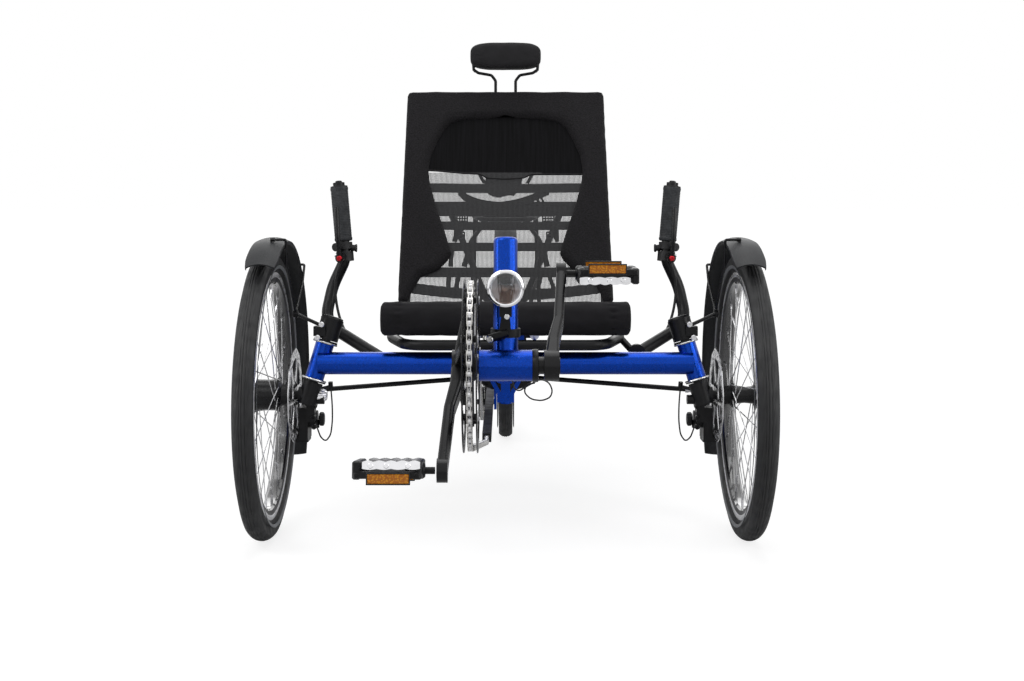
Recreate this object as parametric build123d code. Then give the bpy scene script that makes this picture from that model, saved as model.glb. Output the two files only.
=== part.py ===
"""Recumbent tadpole trike: two steered front wheels, one driven rear wheel, mesh seat.

Millimetres. X is across the trike with the drive side at -X, Y runs from front to back and is counted
from the front axles, Z is height above the ground. At export the whole trike is moved along Y so that
the origin lies on the ground below the middle of its box.
"""

import os
from math import asin, atan2, cos, degrees, pi, radians, sin, sqrt, tan

from build123d import *

# ---- driving dimensions -------------------------------------------------------------------------
TRACK = 812
WHEELBASE = 1055
WHEEL_R = 243
TYRE_W = 40
RIM_R = 209.5
RIM_DEPTH = 19.5
RIM_W = 25
SPOKES = 36
SPOKE_R = 1.0

KING_LEAN = 16.4  # kingpin top leans inwards, degrees
KING_CASTER = 8.0  # kingpin top leans back, degrees
KING_X = 334.5  # kingpin axis at axle height
HEAD_LOW, HEAD_HIGH = 271, 329  # heights of the kingpin tube's ends
HEAD_R = 16
CLAMP_R = 19.5  # the pinch clamp on top of the kingpin
AXLE_R = 7.5
KING_R = 8
RUNNING = 0.3

BEAM_R, BEAM_Z = 19, 297
MAIN_R, MAIN_Z = 24, 292
MAIN_END = 665
BB_Y, BB_Z = -610, 364
SHELL_R, SHELL_W = 20, 68
BOOM_R = 19
SLEEVE_Y = -250
BOOM_SLOPE = (BB_Z - MAIN_Z) / (0 - BB_Y)
POST_R, POST_FOOT_R = 15.9, 16.4  # the post's upper end takes clamps for a 31.8 mm tube
POST_STEP_Z, POST_TOP_Z, POST_EDGE = 482, 527, 5
LAMP_Y, LAMP_Z, LAMP_R = -640, 466, 23.8
STRAP_Z = 404

CRANK = 165
CRANK_ANGLE = 47.3  # of the drive side crank, forward of straight down, degrees
CRANK_AXLE_R = 11
PEDAL_X = {-1: -84, 1: 83}  # where each pedal's spindle leaves its crank
PEDAL_TILT = {-1: -8, 1: 180}  # how far each pedal has turned on its spindle
SPIDER_START = 6.7  # the first spider arm, up from straight back, degrees; the fourth is behind the crank
RING_X = -44.3
RING_R = 111
CHAIN_R = 105.2
CHAIN_H, CHAIN_W = 8, 7
IDLER_Y, IDLER_Z, IDLER_R = 300, 189, 32
SPROCKET_R = 36
RETURN_X, RETURN_Y, RETURN_Z, RETURN_BACK = -29, -280, 210, 640  # the run inside the plastic tube
GUIDE_PULLEY = (WHEELBASE + 22, 172)
LOWER_PULLEY = (WHEELBASE + 2, 112)
PULLEY_R = 20

PIVOT_Y, PIN_R = 65, 6
LEVER = 66  # from the steering pivot back to the tie rods' inner ends
LEVER_X = 14
ARM_X, ARM_Y, ARM_Z = 343.5, 47.2, 230  # the tie rods' outer ends, on the knuckles
BAR_R, BAR_Z = 11, 254
ROD_R, ROD_IN_Z, ROD_OUT_Z = 4.2, 259, 244
GRIP_R = 17
DISC_X, DISC_R = 359, 80
GUARD_W, GUARD_R, GUARD_X = 54, 269, 396
STAY_R = 2.4
WIRE_R, CABLE_R, LAMP_WIRE_R = 1.3, 2.5, 1.1

SEAT_W = 430
BACK_LOW = (405, 376)  # (y, z) of the lower end of the backrest's front face
BACK_HIGH = (706, 814)
BACK_THICK = 24
BACK_LENGTH = sqrt((BACK_HIGH[0] - BACK_LOW[0]) ** 2 + (BACK_HIGH[1] - BACK_LOW[1]) ** 2)
SEAT_TUBE_R = 9
LOOP_Y, LOOP_Z = -24, 330  # the seat tube's front cross run
KNOB_X, KNOB_Z = 227, 312
ROLL_R, ROLL_Z = 29.5, 373
HEADREST_Y = 722
RACK_Z, RACK_X, RACK_END = 534, 74, 1262

MIDDLE_Y = 274  # moved to the origin at export



# ---- helpers ------------------------------------------------------------------------------------
def rod(start, end, radius):
    """A round bar from point to point."""
    start, end = Vector(*start), Vector(*end)
    line = end - start
    plane = Plane(origin=start, z_dir=line)
    return plane * Cylinder(radius, line.length, align=(Align.CENTER, Align.CENTER, Align.MIN))


def tube(points, radii, radius):
    """A round bar along straight runs joined by tangent arcs, one radius for each corner."""
    path = FilletPolyline(*[Vector(*p) for p in points], radius=radii)
    return sweep(Plane(origin=path @ 0, z_dir=path % 0) * Circle(radius), path)


def block(low, high):
    """A box from its lowest to its highest corner."""
    size = [h - l for l, h in zip(low, high)]
    middle = [(h + l) / 2 for l, h in zip(low, high)]
    return Pos(*middle) * Box(*size)


def across(radius, x_from, x_to, y=0, z=0):
    """A cylinder along X."""
    return rod((x_from, y, z), (x_to, y, z), radius)


def upright(radius, x, y, z_from, z_to):
    """A cylinder along Z."""
    return rod((x, y, z_from), (x, y, z_to), radius)


def turned(outline, start=0, sweep_angle=360):
    """Turns an outline of (x, r) points about the X axis; angles count from straight up, to the front."""
    face = make_face(Polyline(*[(x, 0, r) for x, r in outline], close=True))
    solid = revolve(face, Axis.X, sweep_angle)
    return Rot(start, 0, 0) * solid


def mirrored(shape):
    return mirror(shape, Plane.YZ)


def fuse(shapes):
    total = shapes[0]
    for shape in shapes[1:]:
        total = total + shape
    return total


def write(name, shape):
    export_step(Pos(0, -MIDDLE_Y, 0) * shape, f"parts/{name}.step")


def king_point(z, side=1):
    """The kingpin axis at height z."""
    rise = z - WHEEL_R
    return Vector(side * (KING_X - rise * tan(radians(KING_LEAN))), rise * tan(radians(KING_CASTER)), z)


# ---- frame --------------------------------------------------------------------------------------
def main_frame():
    sleeve_z = MAIN_Z - SLEEVE_Y * BOOM_SLOPE
    spine = tube([(0, SLEEVE_Y, sleeve_z), (0, 0, MAIN_Z), (0, MAIN_END, MAIN_Z)], [300], MAIN_R)
    collar_end = SLEEVE_Y + 34
    collar = rod((0, SLEEVE_Y, sleeve_z), (0, collar_end, MAIN_Z - collar_end * BOOM_SLOPE), MAIN_R + 4)
    clamp = block((-7, SLEEVE_Y + 3, sleeve_z - 42), (7, SLEEVE_Y + 28, sleeve_z - 18))
    head_x = king_point(BEAM_Z).X
    beam = across(BEAM_R, -head_x, head_x, 0, BEAM_Z)
    shapes = [spine, collar, clamp, beam]
    for side in (-1, 1):
        shapes.append(rod(king_point(HEAD_LOW, side), king_point(HEAD_HIGH, side), HEAD_R))
        gusset = [(side * 24, 0, BEAM_Z), (side * 110, 0, BEAM_Z), (side * 18, 105, BEAM_Z)]
        shapes.append(extrude(make_face(Polyline(*gusset, close=True)), 3, both=True))
    # Steering pivot below the spine: two slanting plates in front, a foot that carries its lower end.
    for side in (-1, 1):
        arm = [(side * 38, 28, 284), (side * 30, 28, 284), (side * 8, 28, 243), (side * 15, 28, 241)]
        shapes.append(extrude(make_face(Polyline(*arm, close=True)), 10, dir=(0, 1, 0)))
    shapes.append(block((-15, 28, 226), (15, 46, 243)))
    shapes.append(block((-13, 40, 226), (13, PIVOT_Y, 238)))
    shapes.append(upright(15, 0, PIVOT_Y, 226, 238))
    shapes.append(upright(11, 0, PIVOT_Y, 219.5, 227))
    shapes.append(upright(PIN_R, 0, PIVOT_Y, 230, MAIN_Z - 10))
    # Seat mount saddles on top of the spine and the plate that carries the chain idler.
    shapes.append(block((-16, LOOP_Y - 12, MAIN_Z), (16, LOOP_Y + 12, LOOP_Z)))
    shapes.append(block((-12, 520, MAIN_Z), (12, 560, MAIN_Z + 52)))
    idler_plate = [(-22, IDLER_Y - 34, MAIN_Z - 8), (-22, IDLER_Y + 34, MAIN_Z - 8)]
    idler_plate += [(-22, IDLER_Y + 13, IDLER_Z - 13), (-22, IDLER_Y - 13, IDLER_Z - 13)]
    shapes.append(extrude(make_face(Polyline(*idler_plate, close=True)), 5, dir=(1, 0, 0)))
    frame = fuse(shapes) - across(SEAT_TUBE_R, -40, 40, LOOP_Y, LOOP_Z)
    for side in (-1, 1):
        frame -= rod(king_point(HEAD_LOW - 20, side), king_point(HEAD_HIGH + 20, side), KING_R + RUNNING)
    return frame


def head_cups():
    """Black bearing cups above and below each kingpin tube."""
    cups = []
    for side in (-1, 1):
        for low, high in ((HEAD_LOW - 5, HEAD_LOW), (HEAD_HIGH, HEAD_HIGH + 6)):
            cup = rod(king_point(low, side), king_point(high, side), CLAMP_R + 1)
            cups.append(cup - rod(king_point(low - 9, side), king_point(high + 9, side), KING_R + RUNNING))
    return Compound(cups)


def post_point(z):
    """The lamp post's centre line at height z; it leans back a little."""
    return Vector(0, BB_Y + 26 + 18 * (z - BB_Z) / 152, z)


def boom():
    arm = rod((0, BB_Y, BB_Z), (0, SLEEVE_Y, MAIN_Z - SLEEVE_Y * BOOM_SLOPE), BOOM_R)
    shell = across(SHELL_R, -SHELL_W / 2, SHELL_W / 2, BB_Y, BB_Z)
    bore = across(CRANK_AXLE_R + RUNNING, -SHELL_W, SHELL_W, BB_Y, BB_Z)
    post = rod(post_point(BB_Z), post_point(POST_STEP_Z), POST_FOOT_R)
    upper = rod(post_point(POST_STEP_Z - 1), post_point(POST_TOP_Z), POST_R)
    post += fillet(upper.edges().filter_by(GeomType.CIRCLE).sort_by(Axis.Z)[-1:], POST_EDGE)
    return arm + shell + post - bore


def rear_frame():
    """Yoke behind the spine, two stays to the dropouts, and the arms that the seat struts bolt to."""
    shapes = [block((-40, MAIN_END, MAIN_Z - 22), (40, MAIN_END + 26, MAIN_Z + 22))]
    for side in (-1, 1):
        stay = [(side * 30, MAIN_END + 14, MAIN_Z), (side * 60, 790, MAIN_Z - 12)]
        stay.append((side * 70, 1040, WHEEL_R + 2))
        shapes.append(tube(stay, [160], 11))
        shapes.append(block((side * 70 - 4, 1028, WHEEL_R - 22), (side * 70 + 4, 1078, WHEEL_R + 24)))
    return fuse(shapes)


# ---- seat ---------------------------------------------------------------------------------------
def back_point(along, behind, x=0):
    """A point of the backrest: along its front face from the lower end, and behind that face."""
    run = Vector(0, BACK_HIGH[0] - BACK_LOW[0], BACK_HIGH[1] - BACK_LOW[1]).normalized()
    out = Vector(0, run.Z, -run.Y)
    return Vector(x, BACK_LOW[0], BACK_LOW[1]) + run * along + out * behind


def seat_back():
    """The padded cover of the backrest, a slab with rounded corners."""
    centre = back_point(BACK_LENGTH / 2, BACK_THICK / 2)
    out = back_point(0, 1) - back_point(0, 0)
    plane = Plane(origin=centre, x_dir=(1, 0, 0), z_dir=out)
    return plane * extrude(RectangleRounded(SEAT_W, BACK_LENGTH, 24), BACK_THICK / 2, both=True)


def seat_base():
    """The slung base and the thick roll of fabric at its front."""
    roll = across(ROLL_R, -212, 212, 0, ROLL_Z)
    sling = block((-190, 0, 346), (190, 392, 368))
    return roll + sling


def seat_frame():
    behind = BACK_THICK + SEAT_TUBE_R + 1
    rail_z = 334
    start, unit = back_point(0, behind), back_point(1, 0) - back_point(0, 0)
    corner = back_point((rail_z - start.Z) / unit.Z, behind)
    top = back_point(BACK_LENGTH - 30, behind)
    half = [(0, LOOP_Y, LOOP_Z), (168, LOOP_Y, LOOP_Z), (200, 70, rail_z), (200, corner.Y, rail_z)]
    half += [(200, top.Y, top.Z), (0, top.Y, top.Z)]
    side = tube(half, [40, 120, 60, 40], SEAT_TUBE_R)
    low_bar = back_point(84, behind)
    mid_bar = back_point(250, behind)
    shapes = [side, mirrored(side)]
    shapes.append(across(8, -200, 200, low_bar.Y, low_bar.Z))
    shapes.append(across(8, -200, 200, mid_bar.Y, mid_bar.Z))
    shapes.append(rod((KNOB_X, 30, KNOB_Z), (KNOB_X, 43, KNOB_Z), 14))
    shapes.append(rod((KNOB_X - 6, 41, KNOB_Z), (200, 66, rail_z), 6))
    return fuse(shapes)


def seat_struts():
    """Two pairs of struts in a V from the rear yoke up to the backrest's cross bars."""
    mid_bar = back_point(250, BACK_THICK + SEAT_TUBE_R + 1 + 17)
    foot = Vector(0, MAIN_END + 13, MAIN_Z + 22)
    shapes = [block((-34, foot.Y - 11, foot.Z), (34, foot.Y + 11, foot.Z + 14))]
    for side in (-1, 1):
        top = (side * 118, mid_bar.Y, mid_bar.Z)
        shapes.append(rod((side * 26, foot.Y, foot.Z + 8), top, 7))
        shapes.append(across(9, side * 118 - 14, side * 118 + 14, mid_bar.Y, mid_bar.Z))
    return fuse(shapes)


def headrest_pad():
    pad = extrude(RectangleRounded(155, 58, 26), 25, both=True)
    return Pos(0, HEADREST_Y, 890) * Rot(90, 0, 0) * fillet(pad.edges(), 10)


def headrest_rods():
    shapes = []
    grip = back_point(BACK_LENGTH - 30, BACK_THICK + 2 * SEAT_TUBE_R + 6)
    for side in (-1, 1):
        route = [(side * 70, HEADREST_Y, 860), (side * 60, HEADREST_Y, 853), (side * 31, HEADREST_Y, 848)]
        route += [(side * 22, HEADREST_Y + 2, 836), (side * 22, grip.Y + 4, grip.Z)]
        route.append((side * 22, grip.Y - 20, grip.Z - 60))
        shapes.append(tube(route, [8, 10, 8, 20], 3.2))
    top_bar = back_point(BACK_LENGTH - 30, BACK_THICK + SEAT_TUBE_R + 1)
    shapes.append(block((-34, top_bar.Y, grip.Z - 14), (34, grip.Y + 12, grip.Z + 10)))
    return fuse(shapes) - across(SEAT_TUBE_R, -50, 50, top_bar.Y, top_bar.Z)


# ---- lamp ---------------------------------------------------------------------------------------
def headlamp():
    barrel = Pos(0, LAMP_Y, LAMP_Z) * Rot(90, 0, 0) * Cone(16, LAMP_R, 46)
    return barrel + rod((0, LAMP_Y + 20, LAMP_Z), (0, LAMP_Y + 32, LAMP_Z), 10)


def headlamp_lens():
    return rod((0, LAMP_Y - 23, LAMP_Z), (0, LAMP_Y - 27, LAMP_Z), LAMP_R - 3)


def headlamp_bracket():
    """A band round the post, a short arm to the lamp and a strap down to the clamp near the shell."""
    post = post_point(LAMP_Z)
    band = upright(POST_FOOT_R + 3, 0, post.Y, LAMP_Z - 12, LAMP_Z + 12)
    arm = block((-8, LAMP_Y + 20, LAMP_Z - 38), (8, post.Y - 6, LAMP_Z - 22))
    drop = block((-8, LAMP_Y + 8, LAMP_Z - 38), (8, LAMP_Y + 20, LAMP_Z - 15))
    drop_back = block((-8, post.Y - 24, LAMP_Z - 38), (8, post.Y - 12, LAMP_Z + 4))
    foot = post_point(STRAP_Z)
    top, low = LAMP_Z - 36, STRAP_Z
    strap = [(-5, 0, top), (5, 0, top), (7, 0, low + 4), (-2, 0, low - 8), (-9, 0, low)]
    strap_y = foot.Y - POST_FOOT_R - 4
    shapes = [band, arm, drop, drop_back]
    shapes.append(Pos(0, strap_y, 0) * extrude(make_face(Polyline(*strap, close=True)), 4, dir=(0, 1, 0)))
    shapes.append(rod((-21, strap_y + 1, STRAP_Z - 7), (3, strap_y + 1, STRAP_Z + 1), 5.5))
    shapes.append(upright(POST_FOOT_R + 3, 0, foot.Y, STRAP_Z - 6, STRAP_Z + 5))
    return fuse(shapes) - boom() - headlamp()


# ---- drive --------------------------------------------------------------------------------------
def tangent(centre_a, radius_a, centre_b, radius_b, side_a, side_b):
    """End points in the YZ plane of the line that touches two circles, above (+1) or below (-1) each."""
    dy, dz = centre_b[0] - centre_a[0], centre_b[1] - centre_a[1]
    length, heading = sqrt(dy * dy + dz * dz), atan2(dz, dy)
    lean = asin((side_a * radius_a - side_b * radius_b) / length)
    angle = heading - lean
    normal = (-sin(angle), cos(angle))
    start = (centre_a[0] + side_a * radius_a * normal[0], centre_a[1] + side_a * radius_a * normal[1])
    end = (centre_b[0] + side_b * radius_b * normal[0], centre_b[1] + side_b * radius_b * normal[1])
    return start, end


def strip(start, end, x_start, x_end, width=CHAIN_W, height=CHAIN_H):
    """A straight flat run from one (y, z) to another."""
    a, b = Vector(x_start, *start), Vector(x_end, *end)
    plane = Plane(origin=a, x_dir=(1, 0, 0), z_dir=b - a)
    return plane * Box(width, height, (b - a).length, align=(Align.CENTER, Align.CENTER, Align.MIN))


def chain_arc(centre, radius, start, end):
    """The chain's bend round a toothed wheel, from start over the front or below to end."""
    turns = [degrees(atan2(centre[0] - y, z - centre[1])) for y, z in (start, end)]
    low, high = radius - CHAIN_H / 2, radius + CHAIN_H / 2
    half = CHAIN_W / 2
    band = [(-half, low), (half, low), (half, high), (-half, high)]
    return Pos(RING_X, *centre) * turned(band, turns[0], (turns[1] - turns[0]) % 360)


def chain():
    """One closed loop: chainring, under the idler, sprocket, both derailleur pulleys, and back."""
    ring, idler, sprocket = (BB_Y, BB_Z), (IDLER_Y, IDLER_Z), (WHEELBASE, WHEEL_R)
    back = (RETURN_BACK, RETURN_Z)
    drive = tangent(ring, CHAIN_R, idler, IDLER_R, 1, -1)
    rise = tangent(idler, IDLER_R, sprocket, SPROCKET_R, -1, 1)
    drop = tangent(sprocket, SPROCKET_R, GUIDE_PULLEY, PULLEY_R, 1, -1)
    cross = tangent(GUIDE_PULLEY, PULLEY_R, LOWER_PULLEY, PULLEY_R, -1, 1)
    home = tangent(LOWER_PULLEY, PULLEY_R, back, 0.01, 1, 1)
    low = tangent(ring, CHAIN_R, (RETURN_Y, RETURN_Z), 0.01, -1, -1)
    x, inner = RING_X, RETURN_X
    shapes = [strip(*drive, x, x), strip(*rise, x, x), strip(*drop, x, x), strip(*cross, x, x)]
    shapes += [strip(home[0], home[1], x, inner), strip(back, (RETURN_Y, RETURN_Z), inner, inner)]
    shapes.append(strip(low[0], low[1], x, inner))
    shapes.append(chain_arc(ring, CHAIN_R, drive[0], low[0]))
    shapes.append(chain_arc(idler, IDLER_R, drive[1], rise[0]))
    shapes.append(chain_arc(sprocket, SPROCKET_R, drop[0], rise[1]))
    shapes.append(chain_arc(GUIDE_PULLEY, PULLEY_R, drop[1], cross[0]))
    shapes.append(chain_arc(LOWER_PULLEY, PULLEY_R, home[0], cross[1]))
    return fuse(shapes)


def chain_tube():
    """The plastic tube that the returning chain runs in."""
    outer = strip((RETURN_Y + 40, RETURN_Z), (RETURN_BACK - 40, RETURN_Z), RETURN_X, RETURN_X, 14, 14)
    inner = strip((RETURN_Y, RETURN_Z), (RETURN_BACK, RETURN_Z), RETURN_X, RETURN_X, 9.4, 9.4)
    return outer - inner


def chain_idler():
    x = RING_X
    wheel = across(IDLER_R - CHAIN_H / 2, x - 3, x + 3, IDLER_Y, IDLER_Z)
    for flange in (x - 6.5, x + 4.5):
        wheel += across(IDLER_R + 3, flange, flange + 2, IDLER_Y, IDLER_Z)
    return wheel + across(5, x - 10, -22, IDLER_Y, IDLER_Z) + across(6, x - 6, x + 6, IDLER_Y, IDLER_Z)


def rear_derailleur():
    x = RING_X
    y, z = GUIDE_PULLEY
    cage = extrude(Plane.YZ * Pos(0, 0) * SlotCenterToCenter(62, 22), 1.5, both=True)
    heading = degrees(atan2(LOWER_PULLEY[1] - z, LOWER_PULLEY[0] - y))
    middle = ((y + LOWER_PULLEY[0]) / 2, (z + LOWER_PULLEY[1]) / 2)
    shapes = []
    for side in (x - 7.5, x + 7.5):
        shapes.append(Pos(side, *middle) * Rot(heading, 0, 0) * cage)
    for pulley in (GUIDE_PULLEY, LOWER_PULLEY):
        shapes.append(across(3, x - 9, x + 9, *pulley))
        shapes.append(across(PULLEY_R - CHAIN_H / 2, x - 3, x + 3, *pulley))
    shapes.append(rod((x - 12, y, z), (x - 34, WHEELBASE + 8, WHEEL_R - 26), 8))
    shapes.append(across(8, -80, -74, WHEELBASE + 8, WHEEL_R - 26))
    shapes.append(across(9, x - 16, x - 6, y, z))
    return fuse(shapes)


def crank_set():
    """Both crank arms with the axle between them; the drive side arm points down and forwards."""
    turn = radians(CRANK_ANGLE)
    shapes = [across(CRANK_AXLE_R, -64, 70, BB_Y, BB_Z)]
    # Share of the way to the pedal, distance of the arm from the middle plane, its thickness and width.
    sections = ((0.0, 59, 19, 34), (0.22, 62, 16, 29), (0.45, 70, 13.5, 26), (1.0, 76, 13, 25))
    for side in (-1, 1):
        way = Vector(0, side * sin(turn), side * cos(turn))
        faces = []
        for share, x, thick, wide in sections:
            at = Vector(side * x, BB_Y, BB_Z) + way * CRANK * share
            faces.append(Plane(origin=at, x_dir=(1, 0, 0), z_dir=way) * RectangleRounded(thick, wide, 5))
        shapes.append(loft(faces, ruled=True))
        tip = Vector(side * 76, BB_Y, BB_Z) + way * CRANK
        shapes.append(across(20, side * 49.5, side * 68.5, BB_Y, BB_Z))
        shapes.append(across(14.5, tip.X - 6.5, tip.X + 6.5, tip.Y, tip.Z))
    for step in (0, 1, 2, 4):
        shapes.append(spider_arm(radians(SPIDER_START + 72 * step)))
    return fuse(shapes)


def spider_arm(turn):
    """One dished arm, from the drive side crank's shoulder in towards the chainring."""
    way = Vector(0, cos(turn), sin(turn))
    faces = []
    for reach, x, thick, wide in ((12, -61, 11, 20), (57, -53.9, 8, 10)):
        at = Vector(x, BB_Y, BB_Z) + way * reach
        faces.append(Plane(origin=at, x_dir=(1, 0, 0), z_dir=way) * RectangleRounded(thick, wide, 3))
    return loft(faces, ruled=True)


def chainrings():
    x = RING_X
    ring = across(CHAIN_R - 6, x - 1.2, x + 1.2, BB_Y, BB_Z) - across(CHAIN_R - 26, x - 2, x + 2, BB_Y, BB_Z)
    shapes = [ring]
    for low, high in ((x - 9.8, x - 7.8), (x + 7.8, x + 9.8)):
        guard = across(RING_R, low, high, BB_Y, BB_Z) - across(RING_R - 18, low - 1, high + 1, BB_Y, BB_Z)
        shapes.append(guard)
    for step in range(5):
        turn = radians(SPIDER_START + 72 * step)
        foot = (x, BB_Y + 12 * cos(turn), BB_Z + 12 * sin(turn))
        tip = (x, BB_Y + 84 * cos(turn), BB_Z + 84 * sin(turn))
        shapes.append(rod(foot, tip, 5))
        bolt = (BB_Y + 84 * cos(turn), BB_Z + 84 * sin(turn))
        shapes.append(across(4.5, x - 9, x + 9, *bolt))
        guard_arm = (BB_Y + 100 * cos(turn), BB_Z + 100 * sin(turn))
        for low in (x - 9.8, x + 7.8):
            shapes.append(block((low, min(bolt[0], guard_arm[0]) - 4, min(bolt[1], guard_arm[1]) - 4),
                                (low + 2, max(bolt[0], guard_arm[0]) + 4, max(bolt[1], guard_arm[1]) + 4)))
    shapes.append(across(20, x - 5, x + 5, BB_Y, BB_Z))
    return fuse(shapes) - across(CRANK_AXLE_R, x - 20, x + 20, BB_Y, BB_Z)


def pedal_centre(side):
    """Where the pedal's spindle leaves the crank, and its height and place along the trike."""
    turn = radians(CRANK_ANGLE)
    return PEDAL_X[side], BB_Y + side * sin(turn) * CRANK, BB_Z + side * cos(turn) * CRANK


def pedal(side):
    """A flat pedal on its spindle: wavy alloy plates on the upper half of a black cage."""
    start, y, z = pedal_centre(side)
    inner, outer = side * 12, side * 96
    low, high = min(inner, outer), max(inner, outer)
    shapes = [across(10, inner, outer), across(4.5, side * 0.3, inner)]
    for dy in (-40, 40):
        shapes.append(block((low + 3, dy - 3, 0), (high - 1, dy + 3, 15)))
        shapes.append(block((low + 3, dy - 3, -8), (high - 1, dy + 3, 1)))
    for x in (inner + side * 7, outer - side * 5):
        shapes.append(block((x - 5, -42, -9), (x + 5, 42, 13)))
    return Pos(start, y, z) * Rot(PEDAL_TILT[side], 0, 0) * fuse(shapes)


def reflectors(side):
    """Amber reflectors below the alloy plates, front and back."""
    start, y, z = pedal_centre(side)
    middle = side * 53
    bars = [block((middle - 26, dy - 2, -15), (middle + 26, dy + 2, -0.5)) for dy in (-45.2, 45.2)]
    return Pos(start, y, z) * Rot(PEDAL_TILT[side], 0, 0) * Compound(bars)


# ---- wheels -------------------------------------------------------------------------------------
def tyre():
    half = TYRE_W / 2
    centre_r = WHEEL_R - half
    foot = sqrt(half**2 - (centre_r - RIM_R) ** 2)
    left, right = (-foot, 0, RIM_R), (foot, 0, RIM_R)
    outline = [Line(left, right), ThreePointArc(right, (0, 0, WHEEL_R), left)]
    return revolve(make_face(outline), Axis.X, 360)


def rim():
    half, depth = RIM_W / 2, RIM_DEPTH
    outline = [(-half, RIM_R), (half, RIM_R), (half, RIM_R - 9), (half - 3.5, RIM_R - depth)]
    outline += [(-half + 3.5, RIM_R - depth), (-half, RIM_R - 9)]
    return turned(outline)


def spokes(flange_r, flange_x):
    """Spokes from both hub flanges to the rim, leaning by turns forwards and back."""
    solids = []
    for step in range(SPOKES):
        side = 1 if step % 2 else -1
        lean = 8 if step % 4 < 2 else -8
        at_rim = radians(step * 360 / SPOKES)
        at_hub = at_rim + radians(lean)
        foot = (side * flange_x, (flange_r - 3) * cos(at_hub), (flange_r - 3) * sin(at_hub))
        tip_r = RIM_R - RIM_DEPTH + 2
        solids.append(rod(foot, (side * 2, tip_r * cos(at_rim), tip_r * sin(at_rim)), SPOKE_R))
    return Compound(solids)


def front_hub(shell_r, flange_r, flange_x, side):
    """The hub turns on the stub axle; its inner end reaches the brake disc."""
    disc_at = -side * (TRACK / 2 - DISC_X)
    body = across(shell_r, -flange_x, flange_x) + across(15, disc_at + side * 1.2, side * 30)
    for at in (-flange_x, flange_x):
        body += across(flange_r, at - 1.7, at + 1.7)
    body += across(12, side * 29, side * 36)
    return body - across(AXLE_R + RUNNING, disc_at - side * 5, side * 31)


def brake_disc(side):
    disc_at = -side * (TRACK / 2 - DISC_X)
    ring = across(DISC_R, disc_at - 1, disc_at + 1) - across(DISC_R - 17, disc_at - 2, disc_at + 2)
    shapes = [ring]
    for step in range(6):
        turn = radians(60 * step)
        foot = (disc_at, 18 * cos(turn), 18 * sin(turn))
        lean = turn + radians(22)
        tip = (disc_at, (DISC_R - 12) * cos(lean), (DISC_R - 12) * sin(lean))
        a, b = Vector(*foot), Vector(*tip)
        plane = Plane(origin=a, x_dir=(1, 0, 0), z_dir=b - a)
        shapes.append(plane * Box(2, 8, (b - a).length, align=(Align.CENTER, Align.CENTER, Align.MIN)))
    shapes.append(across(23, disc_at - 1, disc_at + 1.2))
    return fuse(shapes) - across(AXLE_R + RUNNING, disc_at - 5, disc_at + 5)


def rear_hub():
    body = across(17, -50, 50) + across(6, -66, 66)
    for at in (-22, 26):
        body += across(26, at - 1.7, at + 1.7)
    return body


def cassette():
    shapes = []
    for number, radius in enumerate((52, 47, 42, 38, 34, 30, 26)):
        x = -28 - number * 4.2
        shapes.append(across(min(radius, SPROCKET_R - 5), x - 0.9, x + 0.9))
    return fuse(shapes + [across(20, -56, -27)]) - across(17, -60, -20)


# ---- steering -----------------------------------------------------------------------------------
def knuckle(side):
    """Kingpin, stub axle, steering arm and the clamp on top of the kingpin."""
    shapes = [rod(king_point(228, side), king_point(HEAD_LOW - 6.2, side), 17)]
    shapes.append(rod(king_point(240, side), king_point(374, side), KING_R))
    shapes.append(rod(king_point(HEAD_HIGH + 6.8, side), king_point(341, side), CLAMP_R + 0.5))
    shapes.append(rod(king_point(341, side), king_point(371, side), CLAMP_R))
    ear = king_point(352, side)
    low_x, high_x = sorted((ear.X + side * 4, ear.X + side * 24))
    shapes.append(block((low_x, ear.Y - 24, 344), (high_x, ear.Y - 4, 360)))
    shapes.append(across(14, side * (KING_X - 4), side * 352, 0, WHEEL_R))
    shapes.append(across(AXLE_R, side * 345, side * (TRACK / 2 + 24), 0, WHEEL_R))
    shapes.append(across(8, side * 309, side * 328, 2, 235))
    arm_root, arm_end = king_point(234, side), Vector(side * ARM_X, ARM_Y, ARM_Z)
    shapes.append(rod((arm_root.X, arm_root.Y, ARM_Z), arm_end, 6.5))
    shapes.append(upright(9, arm_end.X, arm_end.Y, ARM_Z - 5, ARM_Z + 5))
    # Post mount for the brake caliper, behind and below the axle.
    shapes.append(block((side * 333 - 7, 4, 196), (side * 333 + 7, 26, 240)))
    shapes.append(wire_stop(side))
    return fuse(shapes)


def caliper(side):
    """Disc brake caliper astride the disc."""
    inner = side * (DISC_X - 2.5)
    outer = side * (DISC_X + 2.5)
    centre_y, centre_z = 46, WHEEL_R - 52
    low_x, high_x = sorted((side * 340.5, inner))
    body = block((low_x, centre_y - 20, centre_z - 30), (high_x, centre_y + 20, centre_z + 26))
    low_x, high_x = sorted((outer, side * (DISC_X + 11)))
    body += block((low_x, centre_y - 14, centre_z - 30), (high_x, centre_y + 18, centre_z + 8))
    low_x, high_x = sorted((side * 340.5, side * (DISC_X + 11)))
    bridge = block((low_x, centre_y - 14, centre_z - 34), (high_x, centre_y + 24, centre_z - 22))
    body += bridge
    body += block((low_x, centre_y + 18, centre_z - 30), (high_x, centre_y + 30, centre_z + 8))
    body -= across(DISC_R + 3, side * (DISC_X - 2.5), side * (DISC_X + 2.5), 0, WHEEL_R)
    lever = rod((side * 341, centre_y, centre_z + 4), (side * 326, centre_y, centre_z + 4), 15)
    body += rod((side * 327, centre_y, centre_z + 3), (side * 327, centre_y, centre_z - 11), 4)
    return body + lever


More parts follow.
